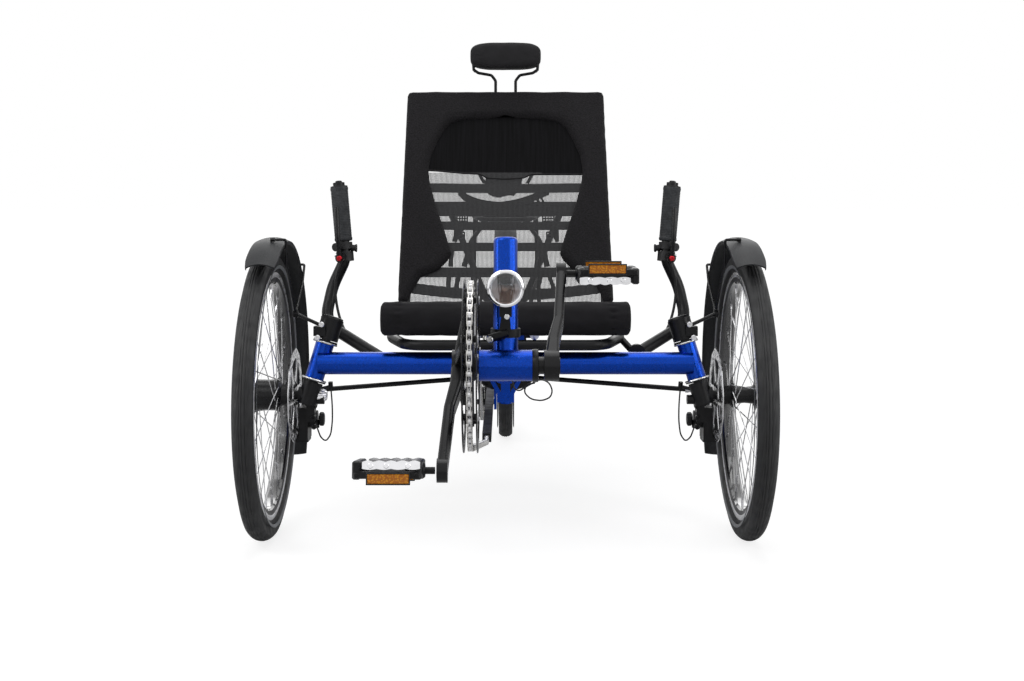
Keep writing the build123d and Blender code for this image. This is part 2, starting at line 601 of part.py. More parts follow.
def mudguard_arc(width, radius, start, angle):
    """A crowned strip round a wheel; angles count from straight up, to the back."""
    half, drop, thick = width / 2, 7, 2.5
    low, top = radius - drop, radius
    outer = ThreePointArc((-half, 0, low), (0, 0, top), (half, 0, low))
    inner = ThreePointArc((half, 0, low - thick), (0, 0, top - thick), (-half, 0, low - thick))
    ends = [Line((half, 0, low), (half, 0, low - thick)), Line((-half, 0, low - thick), (-half, 0, low))]
    face = make_face([outer, ends[0], inner, ends[1]])
    return Rot(-start - angle, 0, 0) * revolve(face, Axis.X, angle)


def front_mudguard(side):
    shell = mudguard_arc(GUARD_W, GUARD_R, -31.5, 153.5)
    return Pos(side * GUARD_X, 0, WHEEL_R) * shell


def mudguard_stay(side):
    """A rod from the kingpin clamp to a joint from which two wires rise and hook over the mudguard."""
    clamp = king_point(362, side)
    knee = Vector(side * 361, 20, 380)
    clamp_body = rod(king_point(341, side), king_point(371, side), CLAMP_R)
    shapes = [rod((clamp.X + side * 15, clamp.Y + 4, 360), knee, 3.2) - clamp_body]
    shapes.append(across(7, side * 357, side * 366, knee.Y, knee.Z))
    centre = Vector(side * GUARD_X, 0, WHEEL_R)
    beside = Vector(-side * (GUARD_W / 2 + STAY_R + 0.8), 0, 0)
    over = Vector(-side * 8, 0, 0)
    top = GUARD_R + STAY_R + 0.6
    for angle in (-12, 38):
        out = Vector(0, sin(radians(angle)), cos(radians(angle)))
        route = [knee, centre + beside + out * (GUARD_R - 40)]
        route += [centre + beside + out * top, centre + over + out * top]
        for start, end in zip(route, route[1:]):
            shapes.append(rod(start, end, STAY_R))
        for corner in route[1:]:
            shapes.append(Pos(*corner) * Sphere(STAY_R + 0.4))
    return fuse(shapes)


def bar_half():
    """Centre line of one half of the handlebar, from the pivot out and up to the grip."""
    low = [(0, PIVOT_Y + 4, BAR_Z), (28, PIVOT_Y + 5, BAR_Z), (56, PIVOT_Y + 12, BAR_Z + 27)]
    low.append((205, 112, 283))
    return low + [(338, 240, 345), (326, 266, 412), (303, 270, 462), (317, 284, 607)]


def rod_pivot(side):
    """Where the lever carries a tie rod's inner end, and the direction of its stud."""
    return Vector(side * LEVER_X, PIVOT_Y + LEVER, ROD_IN_Z), Vector(side * 0.0135, -0.0679, 0.9976)


def handlebar():
    half = bar_tube()
    low, high = BAR_Z - 9, BAR_Z + 9
    hub = upright(17, 0, PIVOT_Y, low, high)
    plate_top = BAR_Z - 2
    lever = block((-22, PIVOT_Y, low), (22, PIVOT_Y + LEVER, plate_top))
    lever += upright(22, 0, PIVOT_Y + LEVER - 4, low, plate_top)
    studs = []
    for side in (-1, 1):
        foot, axis = rod_pivot(side)
        studs.append(rod(foot - axis * 8, foot + axis * 5.5, 3))
    bore = upright(PIN_R + RUNNING, 0, PIVOT_Y, low - 9, high + 7)
    return fuse([half, mirrored(half), hub, lever, *studs]) - bore


def on_bar(share):
    """A point on the straight upper run of the handlebar, 0 at its lower end and 1 at the tip."""
    low, high = Vector(*bar_half()[-2]), Vector(*bar_half()[-1])
    return low + (high - low) * share


def bar_tube():
    return tube(bar_half(), [30, 30, 90, 50, 80, 45], BAR_R)


def grips():
    left = rod(on_bar(0.24), on_bar(1.0), GRIP_R) - bar_tube()
    left += rod(on_bar(1.0), on_bar(1.03), GRIP_R - 2)
    return Compound([left, mirrored(left)])


def brake_levers():
    clamp = rod(on_bar(-0.02), on_bar(0.1), BAR_R + 5)
    root = on_bar(0.04)
    body = rod((root.X + 3, root.Y - 13, root.Z), (root.X + 6, root.Y - 40, root.Z - 2), 8)
    blade_low = Vector(root.X + 6, root.Y - 38, root.Z - 6)
    blade_mid = Vector(root.X + 9, root.Y - 44, root.Z + 42)
    blade_top = Vector(root.X + 12, root.Y - 34, root.Z + 92)
    blade = tube([blade_low, blade_mid, blade_top], [120], 4.5)
    lever = clamp + body + blade - bar_tube()
    return Compound([lever, mirrored(lever)])


def shifters():
    ring = rod(on_bar(0.13), on_bar(0.22), GRIP_R - 1)
    at = on_bar(0.17)
    pod = rod((at.X + 8, at.Y - 10, at.Z), (at.X + 14, at.Y - 22, at.Z - 1), 8)
    stub = rod((at.X - 12, at.Y - 3, at.Z - 2), (at.X - 22, at.Y - 5, at.Z - 3), 6)
    shifter = ring + pod + stub - bar_tube()
    return Compound([shifter, mirrored(shifter)])


def tie_rod(side):
    inner, axis = rod_pivot(side)
    outer = Vector(side * ARM_X, ARM_Y, ROD_OUT_Z)
    line = (outer - inner).normalized()
    eyes = [rod(inner - axis * 4.5, inner + axis * 4.5, 7.5)]
    eyes.append(upright(8, outer.X, outer.Y, outer.Z - 4.5, outer.Z + 5))
    bar = rod(inner + line * 5, outer - line * 5, ROD_R)
    return fuse([*eyes, bar]) - rod(inner - axis * 14, inner + axis * 11, 3 + RUNNING)


# ---- cables -------------------------------------------------------------------------------------
def corner_radii(route):
    """The largest arcs that the runs of a cable's route leave room for."""
    points = [Vector(*p) for p in route]
    runs = [b - a for a, b in zip(points, points[1:])]
    radii = []
    for before, after in zip(runs, runs[1:]):
        half_turn = radians(before.get_angle(after)) / 2
        radii.append(0.45 * min(before.length, after.length) / tan(half_turn))
    return radii


def cable(name, route, radius):
    radii = corner_radii(route)
    shape = tube(route, radii, radius)
    path = FilletPolyline(*[Vector(*p) for p in route], radius=radii)
    share = shape.volume / (pi * radius ** 2 * path.length)
    print(name, "length", round(path.length), "radii", [round(r) for r in radii], "volume", round(share, 3))
    return shape


def brake_wire(side):
    """From the caliper down in a small loop, then up into a stop on the knuckle below the crossbeam."""
    x = (327, 321, 312, 303, 299, 298, 300)
    y = (46, 47, 46, 42, 34, 24, 20)
    z = (180, 163, 156, 168, 192, 222, 252)
    route = [(side * a, b, c) for a, b, c in zip(x, y, z)]
    return cable("brake_wire", route, WIRE_R)


def wire_stop(side):
    """The tube that takes the wire's upper end, on an arm of the kingpin's lower collar."""
    collar = king_point(249, side)
    low, top = Vector(side * 300, 20, 252), Vector(side * 300.7, 18.8, 263)
    return rod(low, top, 4) + rod(low + Vector(0, 0, 3), collar, 3)


def lever_cable(side):
    """From the brake lever down the front of the handlebar into a clip on it."""
    x = (306, 312, 318, 318, 312, 301, 288)
    y = (244, 240, 241, 240, 233, 216, 194)
    z = (464, 447, 424, 394, 364, 338, 325)
    shape = cable("lever_cable", list(zip(x, y, z)), CABLE_R) - bar_tube()
    return shape if side > 0 else mirrored(shape)


def lamp_wire():
    """Two loops of thin wire tucked below the boom on its way from the lamp."""
    x = (8, 14, 33, 50, 62, 67, 64, 52, 36, 26, 30, 42)
    y = (-400, -402, -404, -405, -404, -402, -400, -399, -398, -397, -396, -396)
    z = (326, 300, 312, 321, 316, 304, 294, 289, 291, 301, 312, 314)
    return cable("lamp_wire", list(zip(x, y, z)), LAMP_WIRE_R)


# ---- rear rack and mudguard ---------------------------------------------------------------------
def rear_mudguard():
    return Pos(0, WHEELBASE, WHEEL_R) * mudguard_arc(52, GUARD_R + 2, -82, 172)


def rear_rack():
    """Two long tubes on four legs, hung from the yoke by a hoop, with cross bars and a lamp plate."""
    shapes = []
    leg_foot = WHEEL_R + 30
    for side in (-1, 1):
        rail = side * RACK_X
        nose = [(0, 880, RACK_Z - 6), (side * 60, 884, RACK_Z - 5), (rail, 930, RACK_Z), (rail, 960, RACK_Z)]
        shapes.append(tube(nose, [25, 60], 5))
        shapes.append(rod((rail, 960, RACK_Z), (rail, RACK_END, RACK_Z), 5))
        shapes.append(rod((rail, 1060, RACK_Z), (side * 84, 1060, leg_foot), 4.5))
        shapes.append(rod((rail, 1200, RACK_Z), (side * 84, 1068, leg_foot + 4), 4.5))
        shapes.append(across(7, side * (RACK_X + 0.3), side * 88, 1062, leg_foot))
        hoop = [(0, 918, RACK_Z - 16), (side * 50, 918, RACK_Z - 16), (side * 88, 900, 468)]
        hoop.append((side * 52, 740, 330))
        shapes.append(tube(hoop, [34, 45], 5))
        shapes.append(rod((side * 40, 918, RACK_Z - 16), (side * 66, 908, RACK_Z - 3), 4))
    for y in (1000, 1130, RACK_END):
        shapes.append(across(4.5, -RACK_X, RACK_X, y, RACK_Z))
    plate = block((-38, RACK_END, RACK_Z - 22), (38, RACK_END + 4, RACK_Z + 4))
    for side in (-1, 1):
        plate -= rod((side * 25, RACK_END - 1, RACK_Z - 12), (side * 25, RACK_END + 9, RACK_Z - 12), 2.6)
    return fuse([*shapes, plate])


def main():
    os.makedirs("parts", exist_ok=True)
    write("main_frame", main_frame())
    write("head_cups", head_cups())
    write("boom", boom())
    write("rear_frame", rear_frame())
    write("seat_back", seat_back())
    write("seat_base", seat_base())
    write("seat_frame", seat_frame())
    write("seat_struts", seat_struts())
    write("headrest_pad", headrest_pad())
    write("headrest_rods", headrest_rods())
    write("headlamp", headlamp())
    write("headlamp_lens", headlamp_lens())
    write("headlamp_bracket", headlamp_bracket())
    write("chain", chain())
    write("chain_tube", chain_tube())
    write("chain_idler", chain_idler())
    write("rear_derailleur", rear_derailleur())
    write("cranks", crank_set())
    write("chainrings", chainrings())
    write("lamp_wire", lamp_wire())
    write("rear_mudguard", rear_mudguard())
    write("rear_rack", rear_rack())
    write("handlebar", handlebar())
    write("grips", grips())
    write("brake_levers", brake_levers())
    write("shifters", shifters())
    for side, name in ((1, "left"), (-1, "right")):
        write(f"pedal_{name}", pedal(side))
        write(f"reflectors_{name}", reflectors(side))
        write(f"knuckle_{name}", knuckle(side))
        write(f"caliper_{name}", caliper(side))
        write(f"mudguard_{name}", front_mudguard(side))
        write(f"mudguard_stay_{name}", mudguard_stay(side))
        write(f"tie_rod_{name}", tie_rod(side))
        write(f"brake_wire_{name}", brake_wire(side))
        write(f"lever_cable_{name}", lever_cable(side))
    # Hubs: name, side, shell radius, flange radius, flange distance from the wheel's middle.
    for name, side, shell_r, flange_r, flange_x in (("left", 1, 16, 22, 20), ("right", -1, 26, 29, 20)):
        at = Pos(side * TRACK / 2, 0, WHEEL_R)
        write(f"tyre_{name}", at * tyre())
        write(f"rim_{name}", at * rim())
        write(f"spokes_{name}", at * spokes(flange_r, flange_x))
        write(f"hub_{name}", at * front_hub(shell_r, flange_r, flange_x, side))
        write(f"disc_{name}", at * brake_disc(side))
    at = Pos(0, WHEELBASE, WHEEL_R)
    write("tyre_rear", at * tyre())
    write("rim_rear", at * rim())
    write("spokes_rear", at * spokes(26, 22))
    write("hub_rear", at * rear_hub())
    write("cassette", at * cassette())


main()
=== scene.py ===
"""The recumbent trike's looks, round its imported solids: finishes, tyres, spokes, chain, seat cloth, fittings.

Metres, in the frame's own axes: the trike faces -Y, its drive side is at -X and the ground is Z = 0.
"""

import math
from math import cos, pi, radians, sin

import bmesh
import bpy
from mathutils import Matrix, Vector, noise


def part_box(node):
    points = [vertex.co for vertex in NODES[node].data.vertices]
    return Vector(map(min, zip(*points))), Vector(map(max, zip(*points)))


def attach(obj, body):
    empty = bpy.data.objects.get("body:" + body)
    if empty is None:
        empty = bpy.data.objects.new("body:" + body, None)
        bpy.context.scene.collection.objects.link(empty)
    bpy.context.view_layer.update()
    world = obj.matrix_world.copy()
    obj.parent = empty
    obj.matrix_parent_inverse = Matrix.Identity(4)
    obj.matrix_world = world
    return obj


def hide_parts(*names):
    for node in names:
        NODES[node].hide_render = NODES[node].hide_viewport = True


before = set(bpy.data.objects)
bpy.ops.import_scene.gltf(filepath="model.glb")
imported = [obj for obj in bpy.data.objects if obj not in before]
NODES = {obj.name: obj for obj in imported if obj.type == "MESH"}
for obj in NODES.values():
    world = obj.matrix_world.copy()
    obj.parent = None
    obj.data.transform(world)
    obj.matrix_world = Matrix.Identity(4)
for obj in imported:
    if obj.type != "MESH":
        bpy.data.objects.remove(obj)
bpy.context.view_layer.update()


def middle(node):
    low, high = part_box(node)
    return (low + high) / 2


def extent(node):
    low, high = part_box(node)
    return high - low


# ---- places, read from the frame ----------------------------------------------------------------
SIDES = (("left", 1), ("right", -1))
AXLE = {name: middle(f"rim_{name}") for name in ("left", "right", "rear")}
AXLE_Y = AXLE["left"].y
WHEEL_R, TYRE_HALF = extent("tyre_left").z / 2, extent("tyre_left").x / 2
RIM_R = extent("rim_left").z / 2
CRANK_C = middle("chainrings")


def mm(value):
    """Millimetres to metres, for a number or for nested rows of them."""
    return value / 1000 if isinstance(value, (int, float)) else tuple(mm(item) for item in value)


# ---- making meshes ------------------------------------------------------------------------------
def square_to(axis):
    """Two unit vectors square to axis and to each other."""
    axis = Vector(axis).normalized()
    other = Vector((0, 0, 1)) if abs(axis.z) < 0.9 else Vector((0, 1, 0))
    u = axis.cross(other).normalized()
    return u, axis.cross(u).normalized()


def circle(at, u, v, radius, sides):
    """Points round at, in the plane of u and v."""
    turns = [2 * pi * k / sides for k in range(sides)]
    return [at + (u * cos(turn) + v * sin(turn)) * radius for turn in turns]


def wheel_point(turn, radius, x=0.0):
    """A place from a wheel's centre: turn counts from straight up, to the back."""
    return Vector((x, radius * sin(turn), radius * cos(turn)))


def smooth_line(points, steps=6):
    """A Catmull-Rom line through points."""
    points = [Vector(p) for p in points]
    ends = [2 * points[0] - points[1], *points, 2 * points[-1] - points[-2]]
    line = []
    for a, b, c, d in zip(ends, ends[1:], ends[2:], ends[3:]):
        for step in range(steps):
            t = step / steps
            curve = (2 * a - 5 * b + 4 * c - d) * t**2 + (3 * b - a - 3 * c + d) * t**3
            line.append(0.5 * (2 * b + (c - a) * t + curve))
    return line + [points[-1]]


def interpolate(table, at):
    """The value at a place in a table of (place, value) rows, by straight lines; 0 outside it."""
    for (a, low), (b, high) in zip(table, table[1:]):
        if a <= at <= b:
            return low + (high - low) * (at - a) / (b - a)
    return 0.0


class Piece:
    """Collects faces, then becomes one object that rides on a body."""

    def __init__(self):
        self.verts, self.faces = [], []

    def add(self, verts, faces):
        start = len(self.verts)
        self.verts += [tuple(v) for v in verts]
        self.faces += [tuple(i + start for i in face) for face in faces]

    def loft(self, rings, closed=False, caps=True, skip=None):
        """Quads between rings of points; closed joins the last ring to the first."""
        count, spans = len(rings[0]), len(rings) - (0 if closed else 1)
        faces = []
        for i in range(spans):
            a, b = i * count, (i + 1) % len(rings) * count
            for j in range(count):
                if skip is None or not skip(i, j):
                    k = (j + 1) % count
                    faces.append((a + j, a + k, b + k, b + j))
        if caps and not closed:
            faces.append(tuple(range(count))[::-1])
            faces.append(tuple(range(spans * count, (spans + 1) * count)))
        self.add([p for ring in rings for p in ring], faces)

    def sheet(self, rows, behind=None):
        """Quads over rows of points; with behind, a second layer that far off, closed by a rim."""
        n, last = len(rows[0]), len(rows) - 1
        points = [p for row in rows for p in row]
        faces = [(a, a + 1, a + n + 1, a + n) for i in range(last) for a in range(i * n, i * n + n - 1)]
        if behind is not None:
            back = len(points)
            faces += [tuple(back + k for k in reversed(face)) for face in faces]
            rim_line = list(range(n)) + [i * n + n - 1 for i in range(1, last + 1)]
            rim_line += [last * n + j for j in range(n - 2, -1, -1)] + [i * n for i in range(last - 1, 0, -1)]
            faces += [(b, a, back + a, back + b) for a, b in zip(rim_line, rim_line[1:] + rim_line[:1])]
            points += [p + behind for p in points]
        self.add(points, faces)

    def rod(self, start, end, radius, end_radius=None, sides=12):
        start, end = Vector(start), Vector(end)
        u, v = square_to(end - start)
        end_radius = radius if end_radius is None else end_radius
        self.loft([circle(start, u, v, radius, sides), circle(end, u, v, end_radius, sides)])

    def tube(self, points, radius, sides=10, steps=6):
        """A round tube along a smooth line through points; with one step, along straight ones."""
        line = smooth_line(points, steps) if steps > 1 else [Vector(p) for p in points]
        u, _ = square_to(line[1] - line[0])
        rings = []
        for i, at in enumerate(line):
            ahead = (line[min(i + 1, len(line) - 1)] - line[max(i - 1, 0)]).normalized()
            u = (u - ahead * u.dot(ahead)).normalized()
            rings.append(circle(at, u, ahead.cross(u), radius, sides))
        self.loft(rings)

    def lathe(self, profile, centre, sides=48, axis=(1, 0, 0), wave=None):
        """Turns a closed outline of (along, radius) points about an axis through centre."""
        axis, centre = Vector(axis).normalized(), Vector(centre)
        u, v = square_to(axis)
        rings = []
        for k in range(sides):
            out = u * cos(2 * pi * k / sides) + v * sin(2 * pi * k / sides)
            grow = wave(k) if wave else 0
            rings.append([centre + axis * a + out * (r + grow) for a, r in profile])
        self.loft(rings, closed=True)

    def collar(self, ends, radii, centre, sides=32, axis=(1, 0, 0)):
        """A plain ring between two ends along its axis and two radii."""
        (a, b), (inner, outer) = ends, radii
        self.lathe([(a, inner), (a, outer), (b, outer), (b, inner)], centre, sides, axis)

    def box(self, corner, opposite, cut):
        """A box between two opposite corners, with its edges cut off."""
        (x0, x1), (y0, y1), (z0, z1) = (sorted(pair) for pair in zip(corner, opposite))
        outline = [(x0 + cut, y0), (x1 - cut, y0), (x1, y0 + cut), (x1, y1 - cut),
                   (x1 - cut, y1), (x0 + cut, y1), (x0, y1 - cut), (x0, y0 + cut)]
        mid_x, mid_y = (x0 + x1) / 2, (y0 + y1) / 2
        share_x, share_y = 1 - 2 * cut / max(x1 - x0, cut * 3), 1 - 2 * cut / max(y1 - y0, cut * 3)
        end = [(mid_x + (x - mid_x) * share_x, mid_y + (y - mid_y) * share_y) for x, y in outline]
        levels = ((end, z0), (outline, z0 + cut), (outline, z1 - cut), (end, z1))
        self.loft([[Vector((x, y, z)) for x, y in loop] for loop, z in levels])

    def plate(self, outline, origin, u, v, thick):
        """A flat plate: an outline of (u, v) points, thick/2 to each side of its plane."""
        u, v, origin = Vector(u).normalized(), Vector(v).normalized(), Vector(origin)
        normal = u.cross(v)
        self.loft([[origin + u * a + v * b + normal * t for a, b in outline]
                   for t in (-thick / 2, thick / 2)])

    def bolt(self, at, axis, radius=0.004, height=0.0035):
        """A socket head: a low drum with a round recess."""
        profile = ((0, 0.05), (0, 1), (0.8, 1), (1, 0.86), (1, 0.5), (0.4, 0.5), (0.4, 0.05))
        self.lathe([(a * height, r * radius) for a, r in profile], at, 12, axis)

    def weld(self):
        """Joins points that lie in one place."""
        places, index, kept = {}, [], []
        for v in self.verts:
            key = tuple(round(c, 6) for c in v)
            if key not in places:
                places[key] = len(kept)
                kept.append(v)
            index.append(places[key])
        self.verts = kept
        loops = [[index[i] for i in face] for face in self.faces]
        loops = [[v for k, v in enumerate(loop) if v != loop[k - 1]] for loop in loops]
        self.faces = [tuple(loop) for loop in loops if len(set(loop)) > 2]

    def turn(self, centre, angle):
        """Moves what was made round the origin to centre, turned about X."""
        spin = Matrix.Rotation(angle, 3, "X")
        self.verts = [tuple(Vector(centre) + spin @ Vector(v)) for v in self.verts]

    def done(self, name, material, body, slot, replaces=(), sharp=40):
        """Makes the object: edges sharper than so many degrees stay sharp, faces point outwards."""
        mesh = bpy.data.meshes.new(name)
        mesh.from_pydata(self.verts, [], self.faces)
        mesh.validate()
        mesh.shade_smooth()
        mesh.set_sharp_from_angle(angle=radians(sharp))
        mesh.materials.append(material)
        piece = bpy.data.objects.new(name, mesh)
        bpy.context.scene.collection.objects.link(piece)
        faces = bmesh.new()
        faces.from_mesh(mesh)
        bmesh.ops.recalc_face_normals(faces, faces=faces.faces)
        faces.to_mesh(mesh)
        faces.free()
        if replaces:
            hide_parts(*replaces)
        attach(piece, body)
        return piece


# ---- materials ----------------------------------------------------------------------------------
class Look:
    """A procedural material on one Principled shader."""

    def __init__(self, name, colour, roughness=0.5, metallic=0.0, **sockets):
        self.material = bpy.data.materials.new(name)
        self.material.use_nodes = True
        self.nodes, self.links = self.material.node_tree.nodes, self.material.node_tree.links
        self.shader = self.nodes["Principled BSDF"]
        self.colour = colour
        fixed = {"Base Color": (*colour, 1), "Roughness": roughness, "Metallic": metallic, **sockets}
        for socket, value in fixed.items():
            self.shader.inputs[socket.replace("_", " ")].default_value = value
        self.place = self.nodes.new("ShaderNodeTexCoord").outputs["Object"]

    def drive(self, socket, value):
        """Links a value to a socket of the shader."""
        self.links.new(value, self.shader.inputs[socket])
        return self

    def node(self, kind, inputs=(), **settings):
        node = self.nodes.new("ShaderNode" + kind)
        for key, value in settings.items():
            setattr(node, key, value)
        for socket, value in dict(inputs).items():
            if hasattr(value, "is_output"):
                self.links.new(value, node.inputs[socket])
            else:
                node.inputs[socket].default_value = value
        return node

    def noise(self, scale, detail=2.0, vector=None):
        inputs = {"Scale": scale, "Detail": detail, "Vector": vector or self.place}
        return self.node("TexNoise", inputs).outputs["Fac"]

    def cells(self, scale):
        return self.node("TexVoronoi", {"Scale": scale, "Vector": self.place}).outputs["Distance"]

    def stretched(self, x, y, z):
        return self.node("VectorMath", {0: self.place, 1: (x, y, z)}, operation="MULTIPLY").outputs["Vector"]

    def ramp(self, value, low, high, start=0.35, end=0.65):
        """value from start to end becomes low to high; numbers or colours."""
        if not isinstance(low, tuple):
            return self.node("MapRange", {0: value, 1: start, 2: end, 3: low, 4: high}).outputs[0]
        fade = self.ramp(value, 0.0, 1.0, start, end)
        return self.node("Mix", {"Factor": fade, 6: (*low, 1), 7: (*high, 1)}, data_type="RGBA").outputs[2]

    def mottle(self, scale, share, detail=3.0):
        """Varies the base colour by a share of itself."""
        dark, light = (tuple(min(c * much, 1) for c in self.colour) for much in (1 - share, 1 + share))
        return self.drive("Base Color", self.ramp(self.noise(scale, detail), dark, light))

    def rough(self, scale, low, high):
        return self.drive("Roughness", self.ramp(self.noise(scale, 3.0), low, high))

    def bump(self, height, strength=0.3, distance=0.0005):
        bump = self.node("Bump", {"Strength": strength, "Distance": distance, "Height": height})
        return self.drive("Normal", bump.outputs["Normal"])

    def stripes(self, direction, pitch):
        """0 to 0.5 and back once in each pitch along direction."""
        along = self.node("VectorMath", {0: self.place, 1: direction}, operation="DOT_PRODUCT")
        return self.math("PINGPONG", self.math("MULTIPLY", along.outputs["Value"], 1 / pitch), 0.5)

    def math(self, operation, a, b=0.0):
        return self.node("Math", {0: a, 1: b}, operation=operation).outputs[0]


def plain(name, colour, roughness, metallic, mottle, rough, bump, **sockets):
    """A finish: mottle is (scale, share), rough is (scale, low, high), bump is (scale, strength, depth)."""
    look = Look(name, colour, roughness, metallic, **sockets)
    if mottle:
        look.mottle(*mottle)
    look.rough(*rough)
    if bump:
        scale, strength, depth = bump
        look.bump(look.noise(scale), strength, depth)
    return look.material


def mirror_painted_light():
    """The lamp's ribbed bowl, its light painted into the colour: painted highlights as bright streaks at its
    sides, a warm brown painted reflection below the middle and dark grey painted shade above.
    """
    look = Look("mirror_painted_light", (0.5, 0.45, 0.42), 0.25, 0.4)
    parts = look.node("SeparateXYZ", {0: look.place}).outputs
    streaks = look.noise(1.0, 3.0, look.stretched(420.0, 60.0, 70.0))
    sideways = look.math("MULTIPLY", look.math("ABSOLUTE", parts["X"]), 42.0)
    # painted reflection and shade: warm brown below the bowl's middle, dark grey above it
    base = look.ramp(parts["Z"], (0.30, 0.18, 0.125), (0.05, 0.05, 0.052), 0.464, 0.471)
    # painted highlight: bright streaks that grow stronger towards the bowl's sides
    bright = look.ramp(look.math("ADD", streaks, sideways), (0.0, 0.0, 0.0), (0.9, 0.9, 0.92), 0.78, 1.0)
    # the painted highlight is added onto the painted reflection and shade
    both = look.node("Mix", {"Factor": 1.0, 6: base, 7: bright}, data_type="RGBA", blend_type="ADD")
    return look.drive("Base Color", both.outputs[2]).bump(streaks, 0.12, 0.0004).material


def arch_cloth():
    """Smooth dark cloth with faint upright streaks."""
    look = Look("arch_cloth", (0.004, 0.004, 0.0046), 0.9, Specular_IOR_Level=0.12)
    streaks = look.noise(1.0, 2.0, look.stretched(260.0, 9.0, 9.0))
    look.drive("Base Color", look.ramp(streaks, (0.0008, 0.0008, 0.001), (0.0046, 0.0044, 0.0054)))
    return look.bump(look.math("ADD", streaks, look.stripes((1, 0, 0), 0.0016)), 0.35, 0.0006).material


def amber():
    look = Look("amber", (0.72, 0.22, 0.006), 0.3, Specular_IOR_Level=0.3, Coat_Weight=0.2,
                Coat_Roughness=0.05)
    cells = look.cells(420.0)
    look.drive("Base Color", look.ramp(cells, (0.85, 0.36, 0.012), (0.45, 0.13, 0.003), 0.1, 0.6))
    return look.bump(cells, 0.5, 0.0004).material


def lamp_glass():
    look = Look("lamp_glass", (0.93, 0.96, 1.0), 0.03, Transmission_Weight=1.0, IOR=1.45)
    return look.bump(look.stripes((1, 0, 0), 0.004), 0.25, 0.0004).material


UP_CLOTH = (0, 0.57, 0.82)  # up the backrest, along which its weave runs


def cloth(name, colour, pitch, strength=0.5, rough=0.9):
    """Plain woven cloth: threads over and under in two directions."""
    look = Look(name, colour, rough, Sheen_Weight=0.03, Sheen_Roughness=0.5, Specular_IOR_Level=0.25)
    weave = look.math("ADD", look.stripes((1, 0, 0), pitch), look.stripes(UP_CLOTH, pitch))
    return look.mottle(35, 0.22).bump(weave, strength, pitch * 0.3).material


def spacer_cloth():
    """Knitted spacer fabric: a honeycomb of small dimples, its colour darkened as painted shade where the
    surface sinks towards each cell's edge.
    """
    look = Look("spacer_cloth", (0.006, 0.0052, 0.0066), 0.9, Sheen_Weight=0.04, Sheen_Roughness=0.45,
                Specular_IOR_Level=0.25)
    cells = look.cells(330.0)
    # painted shade: the colour darkens where the bump sinks, towards each cell's edge
    look.drive("Base Color", look.ramp(cells, (0.0098, 0.0084, 0.0108), (0.0014, 0.0012, 0.0016), 0.15, 0.75))
    return look.bump(look.math("MULTIPLY", cells, -1.0), 0.8, 0.0012).material


def open_mesh():
    """Coarse net: black threads with see-through holes between them."""
    look = Look("open_mesh", (0.02, 0.02, 0.022), 0.7)
    pitch, thread = 0.0026, 0.19
    across = look.math("LESS_THAN", look.stripes((1, 0, 0), pitch), thread)
    along = look.math("LESS_THAN", look.stripes((0, 0.567, 0.824), pitch), thread)
    return look.drive("Alpha", look.math("MAXIMUM", across, along)).mottle(400, 0.3).material


def webbing():
    look = Look("webbing", (0.0065, 0.0063, 0.0072), 0.8, Sheen_Weight=0.03, Specular_IOR_Level=0.25)
    ribs = look.math("ADD", look.stripes(UP_CLOTH, 0.0016), look.stripes((1, 0, 0), 0.003))
    return look.mottle(200, 0.3).bump(ribs, 0.6, 0.0005).material


def pale_floor():
    """White as the camera sees it, but for the soft shadow near the trike, which some plain diffuse keeps."""
    look = Look("pale_floor", (0.8, 0.8, 0.8), 1.0, Specular_IOR_Level=0.0)
    away = look.node("VectorMath", {0: look.place}, operation="LENGTH").outputs["Value"]
    far = look.ramp(away, 0.0, 1.0, 1.5, 4.0)
    bright = look.ramp(far, 0.8, 1.05, 0.0, 1.0)
    glow = look.node("Emission", {"Color": (1, 1, 1, 1), "Strength": bright}).outputs[0]
    none = look.node("Emission", {"Color": (0, 0, 0, 1), "Strength": 0.0}).outputs[0]
    lit = look.shader.outputs[0]
    dim = look.node("MixShader", {0: look.ramp(far, 0.55, 1.0, 0.0, 1.0), 1: lit, 2: none}).outputs[0]
    seen = look.node("AddShader", {0: dim, 1: glow}).outputs[0]
    pick = look.node("MixShader", {0: look.node("LightPath").outputs["Is Camera Ray"], 1: lit, 2: seen})
    look.links.new(pick.outputs[0], look.nodes["Material Output"].inputs["Surface"])
    return look.material


# Name, colour, roughness, metallic, then how the colour, the roughness and the surface vary, as plain says.
PAINT = plain("paint_blue", (0.0, 0.042, 0.36), 0.26, 0.92, (900, 0.25, 1.0), (40, 0.22, 0.34),
              (1400, 0.03, 0.0001), Coat_Weight=0.14, Coat_Roughness=0.05)
BLACK = plain("black_metal", (0.006, 0.006, 0.007), 0.34, 0.0, (60, 0.2), (25, 0.28, 0.42),
              (2200, 0.12, 0.0001), Specular_IOR_Level=0.22)
GLOSS = plain("gloss_black", (0.006, 0.006, 0.007), 0.24, 0.0, (50, 0.2), (30, 0.2, 0.32),
              (500, 0.04, 0.0002), Specular_IOR_Level=0.24, Coat_Weight=0.06, Coat_Roughness=0.1)
PLASTIC = plain("black_plastic", (0.011, 0.011, 0.012), 0.5, 0.0, (70, 0.2), (40, 0.42, 0.6),
                (2600, 0.25, 0.0002), Specular_IOR_Level=0.3)
GUARD = plain("guard_plastic", (0.018, 0.019, 0.021), 0.5, 0.0, (500, 0.35), (12, 0.44, 0.56),
              (900, 0.2, 0.0002), Specular_IOR_Level=0.25)
TYRE = plain("tyre_rubber", (0.0085, 0.0088, 0.0098), 0.62, 0.0, (120, 0.25), (60, 0.54, 0.72),
             (1800, 0.3, 0.0003))
GRIP = plain("grip_rubber", (0.020, 0.022, 0.025), 0.7, 0.0, (120, 0.25), (80, 0.6, 0.8), (3000, 0.4, 0.0002))
